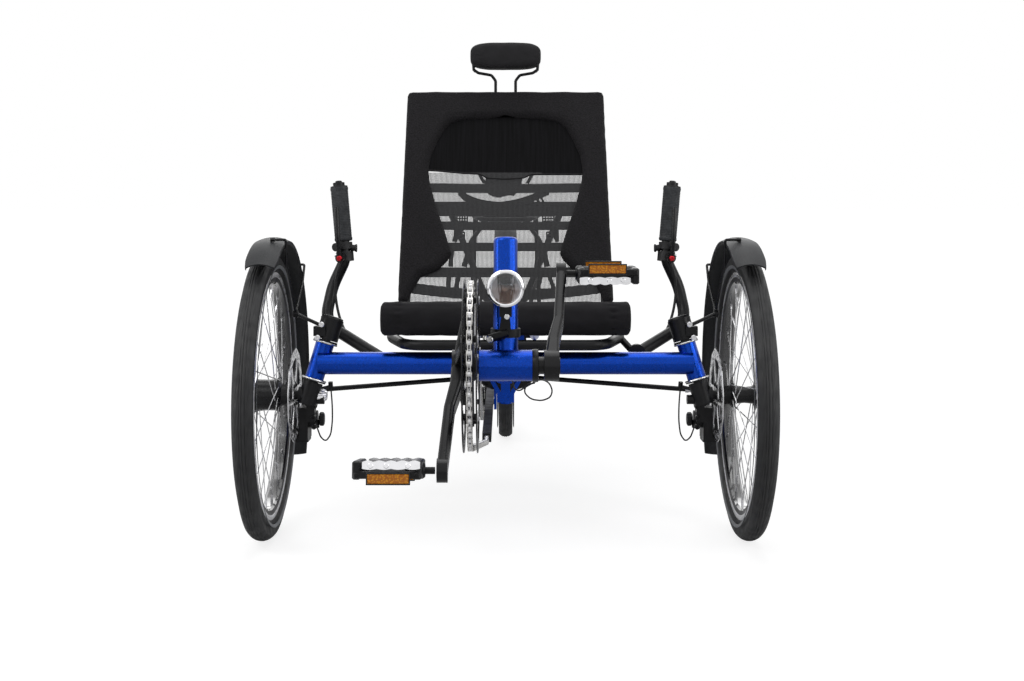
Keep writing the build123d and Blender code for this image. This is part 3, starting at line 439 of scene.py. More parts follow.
# Polished black between the spokes, which mirrors the pale room.
BED = plain("rim_bed", (0.012, 0.012, 0.013), 0.16, 0.0, (40, 0.2), (25, 0.12, 0.2), (250, 0.02, 0.0002),
            Specular_IOR_Level=0.8, Coat_Weight=1.0, Coat_Roughness=0.04)
ROTOR = plain("rotor_steel", (0.85, 0.85, 0.87), 0.2, 1.0, None, (90, 0.14, 0.28), (1500, 0.05, 0.0001))
STEEL = plain("bright_steel", (0.62, 0.62, 0.63), 0.24, 1.0, (150, 0.1), (90, 0.16, 0.34),
              (1500, 0.05, 0.0001))
CHAIN = plain("chain_steel", (0.58, 0.57, 0.55), 0.3, 1.0, (240, 0.25), (200, 0.2, 0.42),
              (1500, 0.05, 0.0001))
ALLOY = plain("alloy", (0.72, 0.72, 0.74), 0.32, 1.0, (80, 0.08), (60, 0.24, 0.42), (1200, 0.08, 0.0001))
CHROME = plain("chrome", (0.86, 0.86, 0.88), 0.06, 1.0, None, (30, 0.04, 0.1), (300, 0.02, 0.0001))
RED = plain("red_alloy", (0.5, 0.012, 0.02), 0.25, 0.8, (90, 0.15), (60, 0.2, 0.3), None)
BAND = plain("reflective_band", (0.11, 0.115, 0.125), 0.45, 0.0, (300, 0.12), (200, 0.3, 0.45),
             (2500, 0.15, 0.0001))
AMBER, GLASS, MIRROR_PAINTED_LIGHT, ARCH = amber(), lamp_glass(), mirror_painted_light(), arch_cloth()
PAD = cloth("pad_cloth", (0.0105, 0.010, 0.0115), 0.0013, 0.8, 0.75)
SEAT, SPACER = cloth("seat_cloth", (0.0075, 0.007, 0.0085), 0.0016), spacer_cloth()
NET, WEB = open_mesh(), webbing()

FINISHES = {
    PAINT: ("main_frame", "boom", "rear_frame"),
    BLACK: ("head_cups", "seat_frame", "seat_struts", "headrest_rods", "headlamp_bracket", "rear_rack",
            "handlebar", "knuckle_left", "knuckle_right", "tie_rod_left", "tie_rod_right", "caliper_left",
            "caliper_right", "rear_derailleur", "hub_rear"),
    GLOSS: ("cranks", "brake_levers"),
    PLASTIC: ("chain_tube", "chain_idler", "shifters", "brake_wire_left", "brake_wire_right",
              "lever_cable_left", "lever_cable_right", "lamp_wire"),
    CHAIN: ("cassette",),
}


def finish_solids():
    """Gives every solid that stays in view its finish."""
    for material, names in FINISHES.items():
        for name in names:
            mesh = NODES[name].data
            mesh.materials.clear()
            mesh.materials.append(material)


# ---- wheels -------------------------------------------------------------------------------------
def tyre(name, body):
    """A slick-centred tyre with three grooves round it and slanted cuts on its shoulders."""
    section_r, skin, groove, cut = TYRE_HALF, 0.0003, 0.0012, 0.0011
    centre_r = WHEEL_R - section_r
    foot = math.asin((centre_r - RIM_R) / section_r) - 0.12
    steps, columns, grooves, shoulders = 264, 30, (11, 15, 18), (8, 21)
    rings = []
    for i in range(steps):
        turn = 2 * pi * i / steps
        ring = []
        for j in range(columns):
            angle = foot + (pi - 2 * foot) * j / (columns - 1)
            on_shoulder = min(abs(j - k) for k in shoulders) < 3
            depth = groove if j in grooves else cut if on_shoulder and (i + j * 2) % 8 < 2 else 0.0
            r = section_r - skin - depth
            ring.append(AXLE[name] + wheel_point(turn, centre_r + r * sin(angle), r * cos(angle)))
        bead, far_bead = (AXLE[name] + wheel_point(turn, RIM_R - 0.004, side * 0.0113) for side in (1, -1))
        rings.append([bead, *ring, far_bead])
    piece, band = Piece(), Piece()
    piece.loft(rings, closed=True)
    piece.done(f"tyre_tread_{name}", TYRE, body, "tyre_rubber", (f"tyre_{name}",), 55)
    low, high = 0.2152, 0.2205
    for side in (-1, 1):
        flank = [(math.sqrt(section_r**2 - (r - centre_r) ** 2), r) for r in (low, (low + high) / 2, high)]
        outside = [(side * (x + 0.0002), r) for x, r in flank]
        inside = [(side * (x - 0.0008), r) for x, r in reversed(flank)]
        band.lathe(outside + inside, AXLE[name], 120)
    band.done(f"tyre_band_{name}", BAND, body, "tyre_rubber")


def both_sides(half_profile):
    """An outline of (x, radius) points from its half at -X."""
    return half_profile + [(-x, r) for x, r in reversed(half_profile)]


def rim(name, body):
    """A double-walled rim with a hooked edge and bright brake tracks."""
    half, low = 0.0125, RIM_R - 0.0195
    hook = [(-half, RIM_R), (-half + 0.0022, RIM_R), (-half + 0.003, RIM_R - 0.006)]
    wall = [(-half, RIM_R - 0.0095), (-half + 0.0018, low + 0.003), (-half + 0.005, low)]
    shell, bed, track = Piece(), Piece(), Piece()
    shell.lathe(both_sides(hook) + both_sides(wall)[::-1], AXLE[name], 144)
    shell.done(f"rim_{name}_shell", BLACK, body, "black_metal", (f"rim_{name}",), 30)
    bed.lathe(both_sides([(-half + 0.0017, low + 0.0031), (-half + 0.0049, low - 0.0002)])
              + [(half - 0.0052, low + 0.0006), (-half + 0.0052, low + 0.0006)], AXLE[name], 144)
    bed.done(f"rim_{name}_bed", BED, body, "black_metal", sharp=30)
    for side in (-1, 1):
        inner, outer = side * half, side * (half + 0.0003)
        track.lathe([(inner, RIM_R - 0.0008), (outer, RIM_R - 0.0012), (outer, RIM_R - 0.0088),
                     (inner, RIM_R - 0.0092)], AXLE[name], 144)
    track.done(f"rim_track_{name}", ALLOY, body, "spoke_steel")


def spoke_set(name, body, flange_r, flange_x):
    """36 spokes laced three-cross, their elbows by turns inside and outside each flange."""
    spokes, nipples = Piece(), Piece()
    count, tip_r, hole_r = 36, RIM_R - 0.0195, flange_r - 0.0028
    for k in range(count):
        side = 1 if k % 2 else -1
        lean = 1 if k % 4 < 2 else -1
        at_rim = 2 * pi * k / count
        at_hub = at_rim + lean * radians(57)
        foot = AXLE[name] + wheel_point(at_hub, hole_r, side * (flange_x + lean * 0.0022))
        tip = AXLE[name] + wheel_point(at_rim, tip_r, side * 0.0025)
        spokes.rod(foot, tip, 0.00095, sides=6)
        spokes.rod(foot - Vector((side * lean * 0.004, 0, 0)), foot, 0.0011, sides=6)
        back = (foot - tip).normalized()
        nipples.rod(tip - back * 0.001, tip + back * 0.011, 0.002, 0.0015, sides=6)
    spokes.done(f"spokes_{name}_laced", STEEL, body, "spoke_steel", (f"spokes_{name}",))
    nipples.done(f"nipples_{name}", ALLOY, body, "spoke_steel")


# Outlines of the front hubs, (along, radius) in millimetres: a big dynamo on one side, a slim hub on the other.
HUBS = {
    "right": mm(((-36, 7.8), (-36, 12), (-30, 13), (-26, 20), (-21.7, 29), (-18.3, 29), (-16, 26.2),
                 (16, 26.2), (18.3, 29), (21.7, 29), (26, 18), (44, 15), (45.8, 15), (45.8, 7.8))),
    "left": mm(((-36, 7.8), (-36, 12), (-29, 12), (-24, 16), (-21.7, 22), (-18.3, 22), (-15, 15), (0, 13.5),
                (15, 15), (18.3, 22), (21.7, 22), (25, 16), (44, 15), (45.8, 15), (45.8, 7.8))),
}


def front_hub(name, side, body):
    hub = Piece()
    hub.lathe([(-side * a, r) for a, r in HUBS[name]], AXLE[name], 40)
    hub.lathe(mm([(side * 36.2, 0.5), (side * 36.2, 10.5), (side * 31, 11.8), (side * 31, 0.5)]),
              AXLE[name], 24)
    if name == "right":
        for k in range(8):
            at = AXLE[name] + wheel_point(2 * pi * k / 8, 0.0215, -side * 0.0165)
            hub.rod(at, at + Vector((-side * 0.004, 0, 0)), 0.0025, sides=6)
    hub.done(f"hub_{name}_shell", GLOSS, body, "black_metal", (f"hub_{name}",), 30)


def rotor(name, side, body):
    """The brake disc: a wavy ring with slots right through it, on six swept arms."""
    at = middle(f"disc_{name}")
    at.x = side * 0.359
    steps, rows, thick = 144, 6, 0.0018
    inner, outer, wave = 0.0635, 0.0795, 0.0012
    disc, bolts = Piece(), Piece()

    def point(i, j, x):
        turn = 2 * pi * i / steps
        ripple = wave * sin(turn * 12) * (1 if j in (0, rows) else 0.5)
        return at + wheel_point(turn, inner + (outer - inner) * j / rows + ripple - wave, x)

    def hole(i, j):
        return (j in (1, 2) and i % 6 in (0, 1)) or (j in (3, 4) and i % 6 in (3, 4))

    def index(i, j, top):
        return (i % steps + steps * top) * (rows + 1) + j

    faces = []
    for i in range(steps):
        for j in range(rows):
            if hole(i, j):
                continue
            corners = ((i, j), (i, j + 1), (i + 1, j + 1), (i + 1, j))
            faces += [tuple(index(*corner, top) for corner in corners) for top in (0, 1)]
            edges = ((0, 3, j == 0 or hole(i, j - 1)), (1, 2, j == rows - 1 or hole(i, j + 1)),
                     (0, 1, hole((i - 1) % steps, j)), (3, 2, hole((i + 1) % steps, j)))
            for a, b, bare in edges:
                if bare:
                    a, b = corners[a], corners[b]
                    faces.append((index(*a, 0), index(*b, 0), index(*b, 1), index(*a, 1)))
    disc.add([point(i, j, x) for x in (-thick / 2, thick / 2) for i in range(steps) for j in range(rows + 1)],
             faces)
    for k in range(6):
        turn = radians(60 * k)
        foot = wheel_point(turn, 0.017)
        along = wheel_point(turn + radians(24), 0.0655) - foot
        reach = along.length
        disc.plate([(0, -0.006), (reach, -0.0032), (reach, 0.0032), (0, 0.006)], at + foot, along,
                   Vector((1, 0, 0)).cross(along), thick)
        bolt_foot = at + wheel_point(turn + radians(30), 0.0185, -side * thick / 2)
        bolts.bolt(bolt_foot, (-side, 0, 0), 0.0032, 0.002)
    disc.collar((-thick / 2, thick / 2), (0.009, 0.023), at, 36)
    disc.done(f"disc_{name}_rotor", ROTOR, body, "spoke_steel", (f"disc_{name}",), 30)
    bolts.done(f"disc_bolts_{name}", BLACK, body, "black_metal")


def wheels():
    for name, side in SIDES:
        body = f"front_wheel_{name}"
        tyre(name, body)
        rim(name, body)
        spoke_set(name, body, 0.029 if name == "right" else 0.022, 0.02)
        front_hub(name, side, body)
        rotor(name, side, body)
    tyre("rear", "rear_wheel")
    rim("rear", "rear_wheel")
    spoke_set("rear", "rear_wheel", 0.026, 0.024)


# ---- mudguards ----------------------------------------------------------------------------------
def mudguard(node, centre, start, end, body):
    """A crowned strip with rolled edges; angles in degrees from straight up, to the back."""
    low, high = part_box(node)
    width, radius = high.x - low.x, high.z - centre.z
    half, drop, thick, steps = width / 2, 0.007, 0.0022, 72
    edge = [(-half, radius - drop - 0.004), (-half + 0.0006, radius - drop)]
    crown = [(-half + width * k / 10, radius - drop * (k / 5 - 1) ** 2 - 0.0002) for k in range(1, 10)]
    outside = edge + crown + [(-x, r) for x, r in reversed(edge)]
    section = outside + [(x * 0.93, r - thick) for x, r in reversed(outside)]
    rings = []
    for k in range(steps + 1):
        narrow = 1 - 0.12 * max(0, 1 - k / 3) ** 2
        turn = radians(start + (end - start) * k / steps)
        rings.append([centre + wheel_point(turn, r, x * narrow) for x, r in section])
    piece = Piece()
    piece.loft(rings)
    piece.done(f"{node}_shell", GUARD, body, "mudguard_plastic", (node,), 50)


def guard_centre(name):
    return Vector((middle(f"mudguard_{name}").x, AXLE_Y, AXLE[name].z))


def mudguards():
    for name, _ in SIDES:
        mudguard(f"mudguard_{name}", guard_centre(name), -31.5, 122, f"knuckle_{name}")
    mudguard("rear_mudguard", Vector((0, *AXLE["rear"].yz)), -82, 90, "frame")


# ---- drive --------------------------------------------------------------------------------------
CHAIN_R, IDLER_R, SPROCKET_R, PULLEY_R = 0.1052, 0.032, 0.036, 0.020
RETURN_X, RETURN_Z, RETURN_FRONT, RETURN_BACK = -0.029, 0.210, AXLE_Y - 0.280, AXLE_Y + 0.640
LINK = 0.0127


def touch(a, b):
    """End points (y, z) of the line touching two circles: (centre, radius, +1 to its left or -1)."""
    dy, dz = b[0][0] - a[0][0], b[0][1] - a[0][1]
    angle = math.atan2(dz, dy) - math.asin((a[2] * a[1] - b[2] * b[1]) / math.hypot(dy, dz))
    return tuple((c[0] - side * r * sin(angle), c[1] + side * r * cos(angle)) for c, r, side in (a, b))


def bend(centre, radius, start, end, way, step=0.004):
    """Points on a circle from start to end, clockwise where way is +1."""
    a, b = (math.atan2(at[1] - centre[1], at[0] - centre[0]) for at in (start, end))
    sweep = way * (a - b) % (2 * pi)
    count = max(int(sweep * radius / step), 2)
    turns = [a - way * sweep * k / count for k in range(count + 1)]
    return [(centre[0] + radius * cos(t), centre[1] + radius * sin(t)) for t in turns]


def chain_line():
    """The chain's centre line, one closed loop of points."""
    idler, sprocket = tuple(middle("chain_idler").yz), tuple(AXLE["rear"].yz)
    back, front = (RETURN_BACK, RETURN_Z), (RETURN_FRONT, RETURN_Z)
    wheels = ((tuple(CRANK_C.yz), CHAIN_R, 1), (idler, IDLER_R, -1), (sprocket, SPROCKET_R, 1),
              ((sprocket[0] + 0.022, 0.172), PULLEY_R, -1), ((sprocket[0] + 0.002, 0.112), PULLEY_R, 1))
    stops = ((front, 1e-5, 1), *wheels, (back, 1e-5, 1))
    runs = [touch(a, b) for a, b in zip(stops, stops[1:])]
    line = []
    for (centre, radius, way), before, after in zip(wheels, runs, runs[1:]):
        line += [Vector((CRANK_C.x, *p)) for p in bend(centre, radius, before[1], after[0], way)]
    return line + [Vector((RETURN_X, *back)), Vector((RETURN_X, *front))]


def even_points(line, pitch):
    """Points a whole number of pitches apart round a closed line."""
    closed = line + [line[0]]
    lengths = [(b - a).length for a, b in zip(closed, closed[1:])]
    total = sum(lengths)
    count = 2 * round(total / pitch / 2)
    gap, points, walked, i = total / count, [], 0.0, 0
    for k in range(count):
        while walked + lengths[i] < k * gap:
            walked += lengths[i]
            i += 1
        points.append(closed[i].lerp(closed[i + 1], (k * gap - walked) / lengths[i]))
    return points


def chain():
    """Inner and outer links by turns, each two plates, with a roller at every pin."""
    plates, rollers = Piece(), Piece()
    pins = even_points(chain_line(), LINK)
    end, sideways = 0.0037, Vector((1, 0, 0))
    for k, (a, b) in enumerate(zip(pins, pins[1:] + pins[:1])):
        waist, spread = (0.0029, 0.0031) if k % 2 else (0.0024, 0.0019)
        along, length = b - a, (b - a).length
        upper = [(-end, 0), (-end * 0.7, end * 0.8), (end * 0.2, end), (length / 2, waist),
                 (length - end * 0.2, end), (length + end * 0.7, end * 0.8), (length + end, 0)]
        outline = upper + [(x, -y) for x, y in upper[-2:0:-1]]
        for side in (-1, 1):
            plates.plate(outline, a + sideways * side * spread, along, sideways.cross(along), 0.0009)
        rollers.rod(a - sideways * 0.0016, a + sideways * 0.0016, 0.0036, sides=8)
        plates.rod(a - sideways * 0.0035, a + sideways * 0.0035, 0.0017, sides=6)
    plates.done("chain_links", CHAIN, "frame", "chain_steel", ("chain",), 30)
    rollers.done("chain_rollers", STEEL, "frame", "chain_steel")


def gear(piece, centre, radius, teeth, thick, tooth, bore):
    """A toothed ring about the X axis, four points to a tooth."""
    turns = [2 * pi * k / (teeth * 4) for k in range(teeth * 4)]
    outer = [radius - (tooth if k % 4 in (0, 3) else 0.0) for k in range(teeth * 4)]
    inner = [bore] * len(turns)
    rings = []
    for x, radii in ((-thick / 2, outer), (thick / 2, outer), (thick / 2, inner), (-thick / 2, inner)):
        rings.append([centre + wheel_point(turn, r, x) for turn, r in zip(turns, radii)])
    piece.loft(rings, closed=True)


def chainrings():
    """A toothed ring between two thin guards, on five arms."""
    guards, bolts, ring, arms = Piece(), Piece(), Piece(), Piece()
    across = Vector((1, 0, 0))
    for side in (-1, 1):
        a, b = sorted((side * 7.9, side * 9.7))
        guards.lathe(mm([(a, 94.5), (a, 110.2), (a + 0.5, 110.9), (b - 0.5, 110.9), (b, 110.2), (b, 94.5)]),
                     CRANK_C, 120)
    gear(ring, CRANK_C, 0.1045, 52, 0.0022, 0.0075, 0.079)
    half_arm = mm([(14, -13), (50, -8), (83, -8.5), (90, -5)])
    for k in range(5):
        turn = radians(72 * k + 6.7)
        out = Vector((0, cos(turn), sin(turn)))
        wide, at = across.cross(out), CRANK_C + out * 0.084
        arms.plate(half_arm + tuple((x, -y) for x, y in reversed(half_arm)), CRANK_C, out, wide, 0.007)
        arms.rod(at - across * 0.0096, at + across * 0.0096, 0.0045)
        for side in (-1, 1):
            arms.plate(mm([(78, -6), (96, -9), (96, 9), (78, 6)]),
                       CRANK_C + across * side * 0.0088, out, wide, 0.0016)
            bolts.bolt(at + across * side * 0.0093, (side, 0, 0), 0.0052, 0.0014)
    arms.collar((-0.005, 0.005), (0.0118, 0.02), CRANK_C)
    guards.done("chainring_guards", GLOSS, "crankset", "black_metal", ("chainrings",), 30)
    bolts.done("chainring_bolts", ALLOY, "crankset", "black_metal")
    ring.done("chainring_teeth", STEEL, "crankset", "black_metal", sharp=20)
    arms.done("chainring_arms", BLACK, "crankset", "black_metal")


def sprockets():
    gears = Piece()
    for number in range(7):
        at = AXLE["rear"] + Vector((-0.028 - number * 0.0042, 0, 0))
        gear(gears, at, 0.0309 - 0.0012 * max(0, number - 4), 14, 0.0018, 0.003, 0.0175)
    gears.collar((-0.0555, -0.0275), (0.0172, 0.0198), AXLE["rear"])
    gears.done("cassette_gears", CHAIN, "rear_wheel", "chain_steel", ("cassette",), 20)


def cranks():
    """Axle caps on the arms and the black cup at the shell's left end."""
    cup, caps = Piece(), Piece()
    shell = Vector((0, *CRANK_C.yz))
    cup.lathe(mm([(34, 12.5), (34, 20.5), (35, 21.2), (41.5, 21.2), (42, 19.5), (42, 12.5)]),
              shell, 36)
    cup.done("bottom_bracket_cup", BLACK, "frame", "black_metal")
    for side, x in ((-1, -0.0675), (1, 0.066)):
        caps.bolt(shell + Vector((x, 0, 0)), (side, 0, 0), 0.009, 0.0015)
    caps.done("crank_caps", GLOSS, "crankset", "black_metal")


def pedal(name, side):
    """A cage of two wavy alloy plates on a black body, with an amber reflector at each edge."""
    body = f"pedal_{name}"
    low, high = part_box(body)
    turn, arm, tilt = radians(47.3), 0.165, radians(-8 if side < 0 else 180)
    centre = Vector((high.x if side < 0 else low.x, *CRANK_C.yz)) + side * wheel_point(turn, arm)
    core, plates, glow, frames = Piece(), Piece(), Piece(), Piece()

    def at(along, y=0.0, z=0.0):
        """A place on the pedal, in millimetres: along its axle from the crank's face, to the back and up."""
        return Vector(mm((side * (12 + along), y, z)))

    core.tube([at(-11.7), at(0), at(20)], 0.0044, 14, 1)
    core.lathe(mm([(0, 3), (0, 7.8), (3, 9.8), (22, 9.8), (30, 8), (56, 8), (64, 9.8), (81, 9.8), (83, 8.5),
                   (83, 3)]), at(0), 24, (side, 0, 0))
    for x in (2.2, 74.2):
        core.box(at(x, -41.6, -8.8), at(x + 9.6, 41.6, 12.8), 0.0018)
    core.box(at(22, -37, -2.5), at(64, 37, 2.5), 0.001)
    for edge in (-1, 1):
        core.box(at(4, edge * 37.2, -7.8), at(82, edge * 42.8, 1), 0.0012)
        for x in (8.3, 78.3):
            core.bolt(at(x, edge * 42.9, -3.5), (0, edge, 0), 0.0028, 0.0012)
        shares = [k / 32 for k in range(33)]
        top = [(3.8 + 68 * t, 11.8 + 1.8 * abs(sin(5 * pi * t))) for t in shares]
        bottom = [(3.8 + 68 * t, 4.0 - 1.2 * abs(sin(4 * pi * t))) for t in shares]
        plates.plate(mm(top + bottom[::-1]), at(0, edge * 42.4), (side, 0, 0), (0, 0, 1), 0.0011)
        for x in (18, 43.5, 62):
            plates.rod(at(x, edge * 42.8, 7.5), at(x, edge * 43.3, 7.5), 0.0035, 0.0028, 16)
        glow.box(at(16.5, edge * 47, -13.4), at(65.5, edge * 43.4, -1.8), 0.0008)
        for z in (-14.8, -2.2):
            frames.box(at(15.2, edge * 47.1, z), at(66.8, edge * 43.4, z + 1.6), 0.0004)
        for x in (15.2, 65.4):
            frames.box(at(x, edge * 47.1, -14.8), at(x + 1.4, edge * 43.4, -0.6), 0.0004)
    for piece in (core, plates, glow, frames):
        piece.turn(centre, tilt)
    core.done(f"pedal_{name}_body", BLACK, body, "pedal_alloy", (f"pedal_{name}",), 35)
    plates.done(f"pedal_{name}_plates", ROTOR, body, "pedal_alloy", sharp=30)
    glow.done(f"reflector_{name}_amber", AMBER, body, "reflector_amber", (f"reflectors_{name}",), 35)
    frames.done(f"reflector_{name}_frame", PLASTIC, body, "pedal_alloy", sharp=35)


# ---- lamp ---------------------------------------------------------------------------------------
def headlamp():
    """Chrome shell and bezel, a ribbed reflector bowl and a clear front glass."""
    low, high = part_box("headlamp")
    centre = Vector((0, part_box("headlamp_lens")[0].y, (low.z + high.z) / 2))
    r, deep, ahead = (high.z - low.z) * 500, (high.y - centre.y) * 1000, (0, 1, 0)  # r and deep in millimetres
    shell, bowl, glass, bolts = Piece(), Piece(), Piece(), Piece()
    shell.lathe(mm([(0.6, r - 4.5), (0, r - 3), (1.2, r - 0.8), (4, r - 0.1), (8, r - 0.6), (9, r - 1.2),
                    (30, r - 3.5), (44, r - 7.5), (49, 10.5), (deep - 2, 9.5), (deep, 7.5), (deep, 0.5),
                    (40, 0.5), (30, 8), (10, r - 6), (4, r - 4.8)]), centre, 64, ahead)
    shell.done("headlamp_shell", CHROME, "frame", "lamp_body", ("headlamp",), 30)
    bowl.lathe(mm([(4.5, r - 4.9), (12, r - 6.8), (22, 11), (27, 5.5), (27.5, 1), (26.8, 1), (26, 5.2),
                   (21.5, 10.4), (11.8, r - 7.6), (4.5, r - 5.6)]),
               centre, 48, ahead, wave=lambda k: -0.0004 if k % 4 < 2 else 0.0)
    bowl.rod(centre + Vector((0, 0.027, 0)), centre + Vector((0, 0.016, 0)), 0.0028, 0.0022)
    bowl.box(centre + Vector((-0.009, 0.0045, 0.004)), centre + Vector((0.009, 0.012, 0.0055)), 0.0005)
    # the bowl's colour holds painted highlights, a painted reflection and painted shade
    bowl.done("headlamp_bowl", MIRROR_PAINTED_LIGHT, "frame", "lamp_body", sharp=20)
    glass.lathe(mm([(0.9, 0.4), (0.7, 6), (1.2, 12), (2.2, r - 4.5), (4.2, r - 4.5), (3.4, 12), (2.8, 6),
                    (2.6, 0.4)]), centre, 64, ahead)
    glass.done("headlamp_glass", GLASS, "frame", "lamp_glass", ("headlamp_lens",), 40)
    foot_y = CRANK_C.y - 0.026 + 0.118 * (0.404 - CRANK_C.z)
    bolts.bolt((-0.0195, foot_y + 0.0195, 0.3975), (-0.3, -0.95, 0), 0.0042, 0.003)
    bolts.bolt((0.0015, centre.y + 0.008, centre.z - 0.0355), (0, -1, 0), 0.0034, 0.002)
    bolts.done("headlamp_bolts", STEEL, "frame", "black_metal")


# ---- handlebar fittings -------------------------------------------------------------------------
GRIP_LOW, GRIP_TIP = Vector((0.303, AXLE_Y + 0.270, 0.462)), Vector((0.317, AXLE_Y + 0.284, 0.607))


def mirrored(point, side):
    return Vector((side * point[0], point[1], point[2]))


def on_grip(share, side):
    return mirrored(GRIP_LOW.lerp(GRIP_TIP, share), side)


def grips():
    """Ribbed rubber on both grips, and the plug with its little button at each tip."""
    rubber, plugs = Piece(), Piece()
    length = (GRIP_TIP - GRIP_LOW).length
    start, end, rib = 0.24 * length, length - 0.009, 0.0031
    for side in (-1, 1):
        axis = on_grip(1, side) - on_grip(0, side)
        profile = [(start, 0.0112), (start, 0.0155), (start + 0.002, 0.0168), (start + 0.006, 0.0168)]
        at = start + 0.007
        while at < end - 0.006:
            profile += [(at, 0.0160), (at + 0.0009, 0.0160), (at + 0.0013, 0.0164), (at + 0.0026, 0.0164)]
            at += rib
        profile += [(end - 0.004, 0.0169), (end - 0.0008, 0.0168), (end, 0.0155), (end, 0.0112)]
        rubber.lathe(profile, on_grip(0, side), 40, axis)
        plug = mm([(-1, 0.5), (-1, 16.2), (2.2, 16.2), (3, 10.5), (6.2, 8.8), (6.6, 6.8), (11.8, 6.2),
                   (12.8, 4.8), (12.8, 0.5)])
        plugs.lathe([(end + a, r) for a, r in plug], on_grip(0, side), 32, axis)
    rubber.done("grip_rubbers", GRIP, "handlebar", "grip_rubber", ("grips",), 35)
    plugs.done("grip_plugs", PLASTIC, "handlebar", "grip_rubber")


def bar_fittings():
    """Red adjusters and pivots on the brake levers, clamp bolts, collars and the shifters' dials."""
    red, steel, black = Piece(), Piece(), Piece()
    for side in (-1, 1):
        root = on_grip(0.04, side)
        red.lathe(mm([(0, 0.5), (0, 4.8), (3, 5.4), (5, 4.8), (6, 3.6), (6, 0.5)]),
                  root + mirrored((0.006, -0.0395, -0.002), side), 20, (0, -1, 0))
        steel.bolt(root + mirrored((0.0155, -0.004, 0.002), side), (side, 0, 0), 0.0035)
        black.collar((-0.009, 0.0085), (0.0112, 0.0166), root, 32, on_grip(1, side) - on_grip(0, side))
        pod = on_grip(0.17, side) + mirrored((-0.0215, -0.005, -0.003), side)
        black.lathe(mm([(0, 0.5), (0, 7), (2, 8), (3.5, 7), (3.5, 0.5)]), pod, 24,
                    (-side, 0, 0), wave=lambda k: -0.0006 if k % 3 == 0 else 0.0)
    red.done("lever_red_bolts", RED, "handlebar", "black_metal")
    steel.done("lever_clamp_bolts", STEEL, "handlebar", "black_metal")
    black.done("bar_collars", PLASTIC, "handlebar", "black_plastic", sharp=30)


# ---- knuckles -----------------------------------------------------------------------------------
KING_X, KING_LEAN, KING_CASTER = 0.3345, radians(16.4), radians(8.0)


def king_point(z, side):
    """The place on a kingpin's axis at height z."""
    rise = z - AXLE["left"].z
    return Vector((side * (KING_X - rise * math.tan(KING_LEAN)), AXLE_Y + rise * math.tan(KING_CASTER), z))


def bearing_rings(rings, side, up):
    for z, way in ((0.2705, -1), (0.3295, 1)):
        rings.lathe(mm([(0, 12.5), (0, 21.2), (way * 1.6, 21.7), (way * 2.4, 21.2), (way * 2.4, 12.5)]),
                    king_point(z, side), 36, up)


def knuckle_fittings(name, side, up):
    """The kingpin's cap and clamp bolts, the caliper's bolts and dial, and the drive side's silver cone."""
    dark, steel = Piece(), Piece()
    dark.lathe(mm([(0, 0.5), (0, 19), (3.5, 18), (4.5, 12), (4.5, 0.5)]),
               king_point(0.371, side), 32, up)
    for z in (0.3425, 0.3690):
        dark.collar((-0.0012, 0.0012), (0.0185, 0.0202), king_point(z, side), 32, up)
    for z, drop in ((0.3655, 0.010), (0.3435, 0.012)):
        ear = king_point(z, side) + Vector((side * 0.014, -drop - 0.0135, -0.002))
        steel.bolt(ear, (0, -1, 0), 0.0048, 0.004)
    for x, z in ((0.3255, 0.2235), (0.3275, 0.2035), (0.3265, 0.1880)):
        front = Vector((side * x, AXLE_Y + 0.0045, z))
        dark.bolt(front, (0, -1, 0), 0.0044, 0.006)
        dark.rod(front, front + Vector((0, 0.0155, 0)), 0.003)
    low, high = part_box(f"caliper_{name}")
    dial = Vector((high.x if side < 0 else low.x, AXLE_Y + 0.046, 0.195))
    dark.lathe(mm([(0, 0.5), (0, 10), (2, 12.2), (7, 12.2), (9, 9), (9, 0.5)]), dial, 24,
               (-side, 0, 0), wave=lambda k: -0.0006 if k % 2 else 0.0)
    if side < 0:
        cone = Vector((-0.3225, AXLE_Y + 0.006, 0.2412))
        steel.lathe(mm([(0, 0.5), (0, 13.2), (3, 13.8), (12, 10.8), (16.5, 8.5), (18, 6.5), (18, 0.5)]),
                    cone, 36, wave=lambda k: -0.0012 if k % 3 == 0 else 0.0)
        dark.rod(cone, cone + Vector((-0.014, 0, 0.0028)), 0.0095, sides=24)
    steel.done(f"knuckle_{name}_bolts", ALLOY, f"knuckle_{name}", "black_metal", sharp=30)
    dark.done(f"knuckle_{name}_caps", BLACK, f"knuckle_{name}", "black_metal", sharp=30)


def rod_nuts(name, side):
    """Two nuts behind each end of a tie rod."""
    nuts = Piece()
    outer = Vector((side * 0.3435, AXLE_Y + 0.0472, 0.244))
    inner = Vector((side * 0.014, AXLE_Y + 0.131, 0.259))
    for foot, other in ((outer, inner), (inner, outer)):
        line = (other - foot).normalized()
        nuts.rod(foot + line * 0.010, foot + line * 0.026, 0.0052, sides=6)
        nuts.rod(foot + line * 0.026, foot + line * 0.031, 0.0062, sides=6)
    nuts.done(f"tie_rod_{name}_nuts", STEEL, f"tie_rod_{name}", "black_metal")


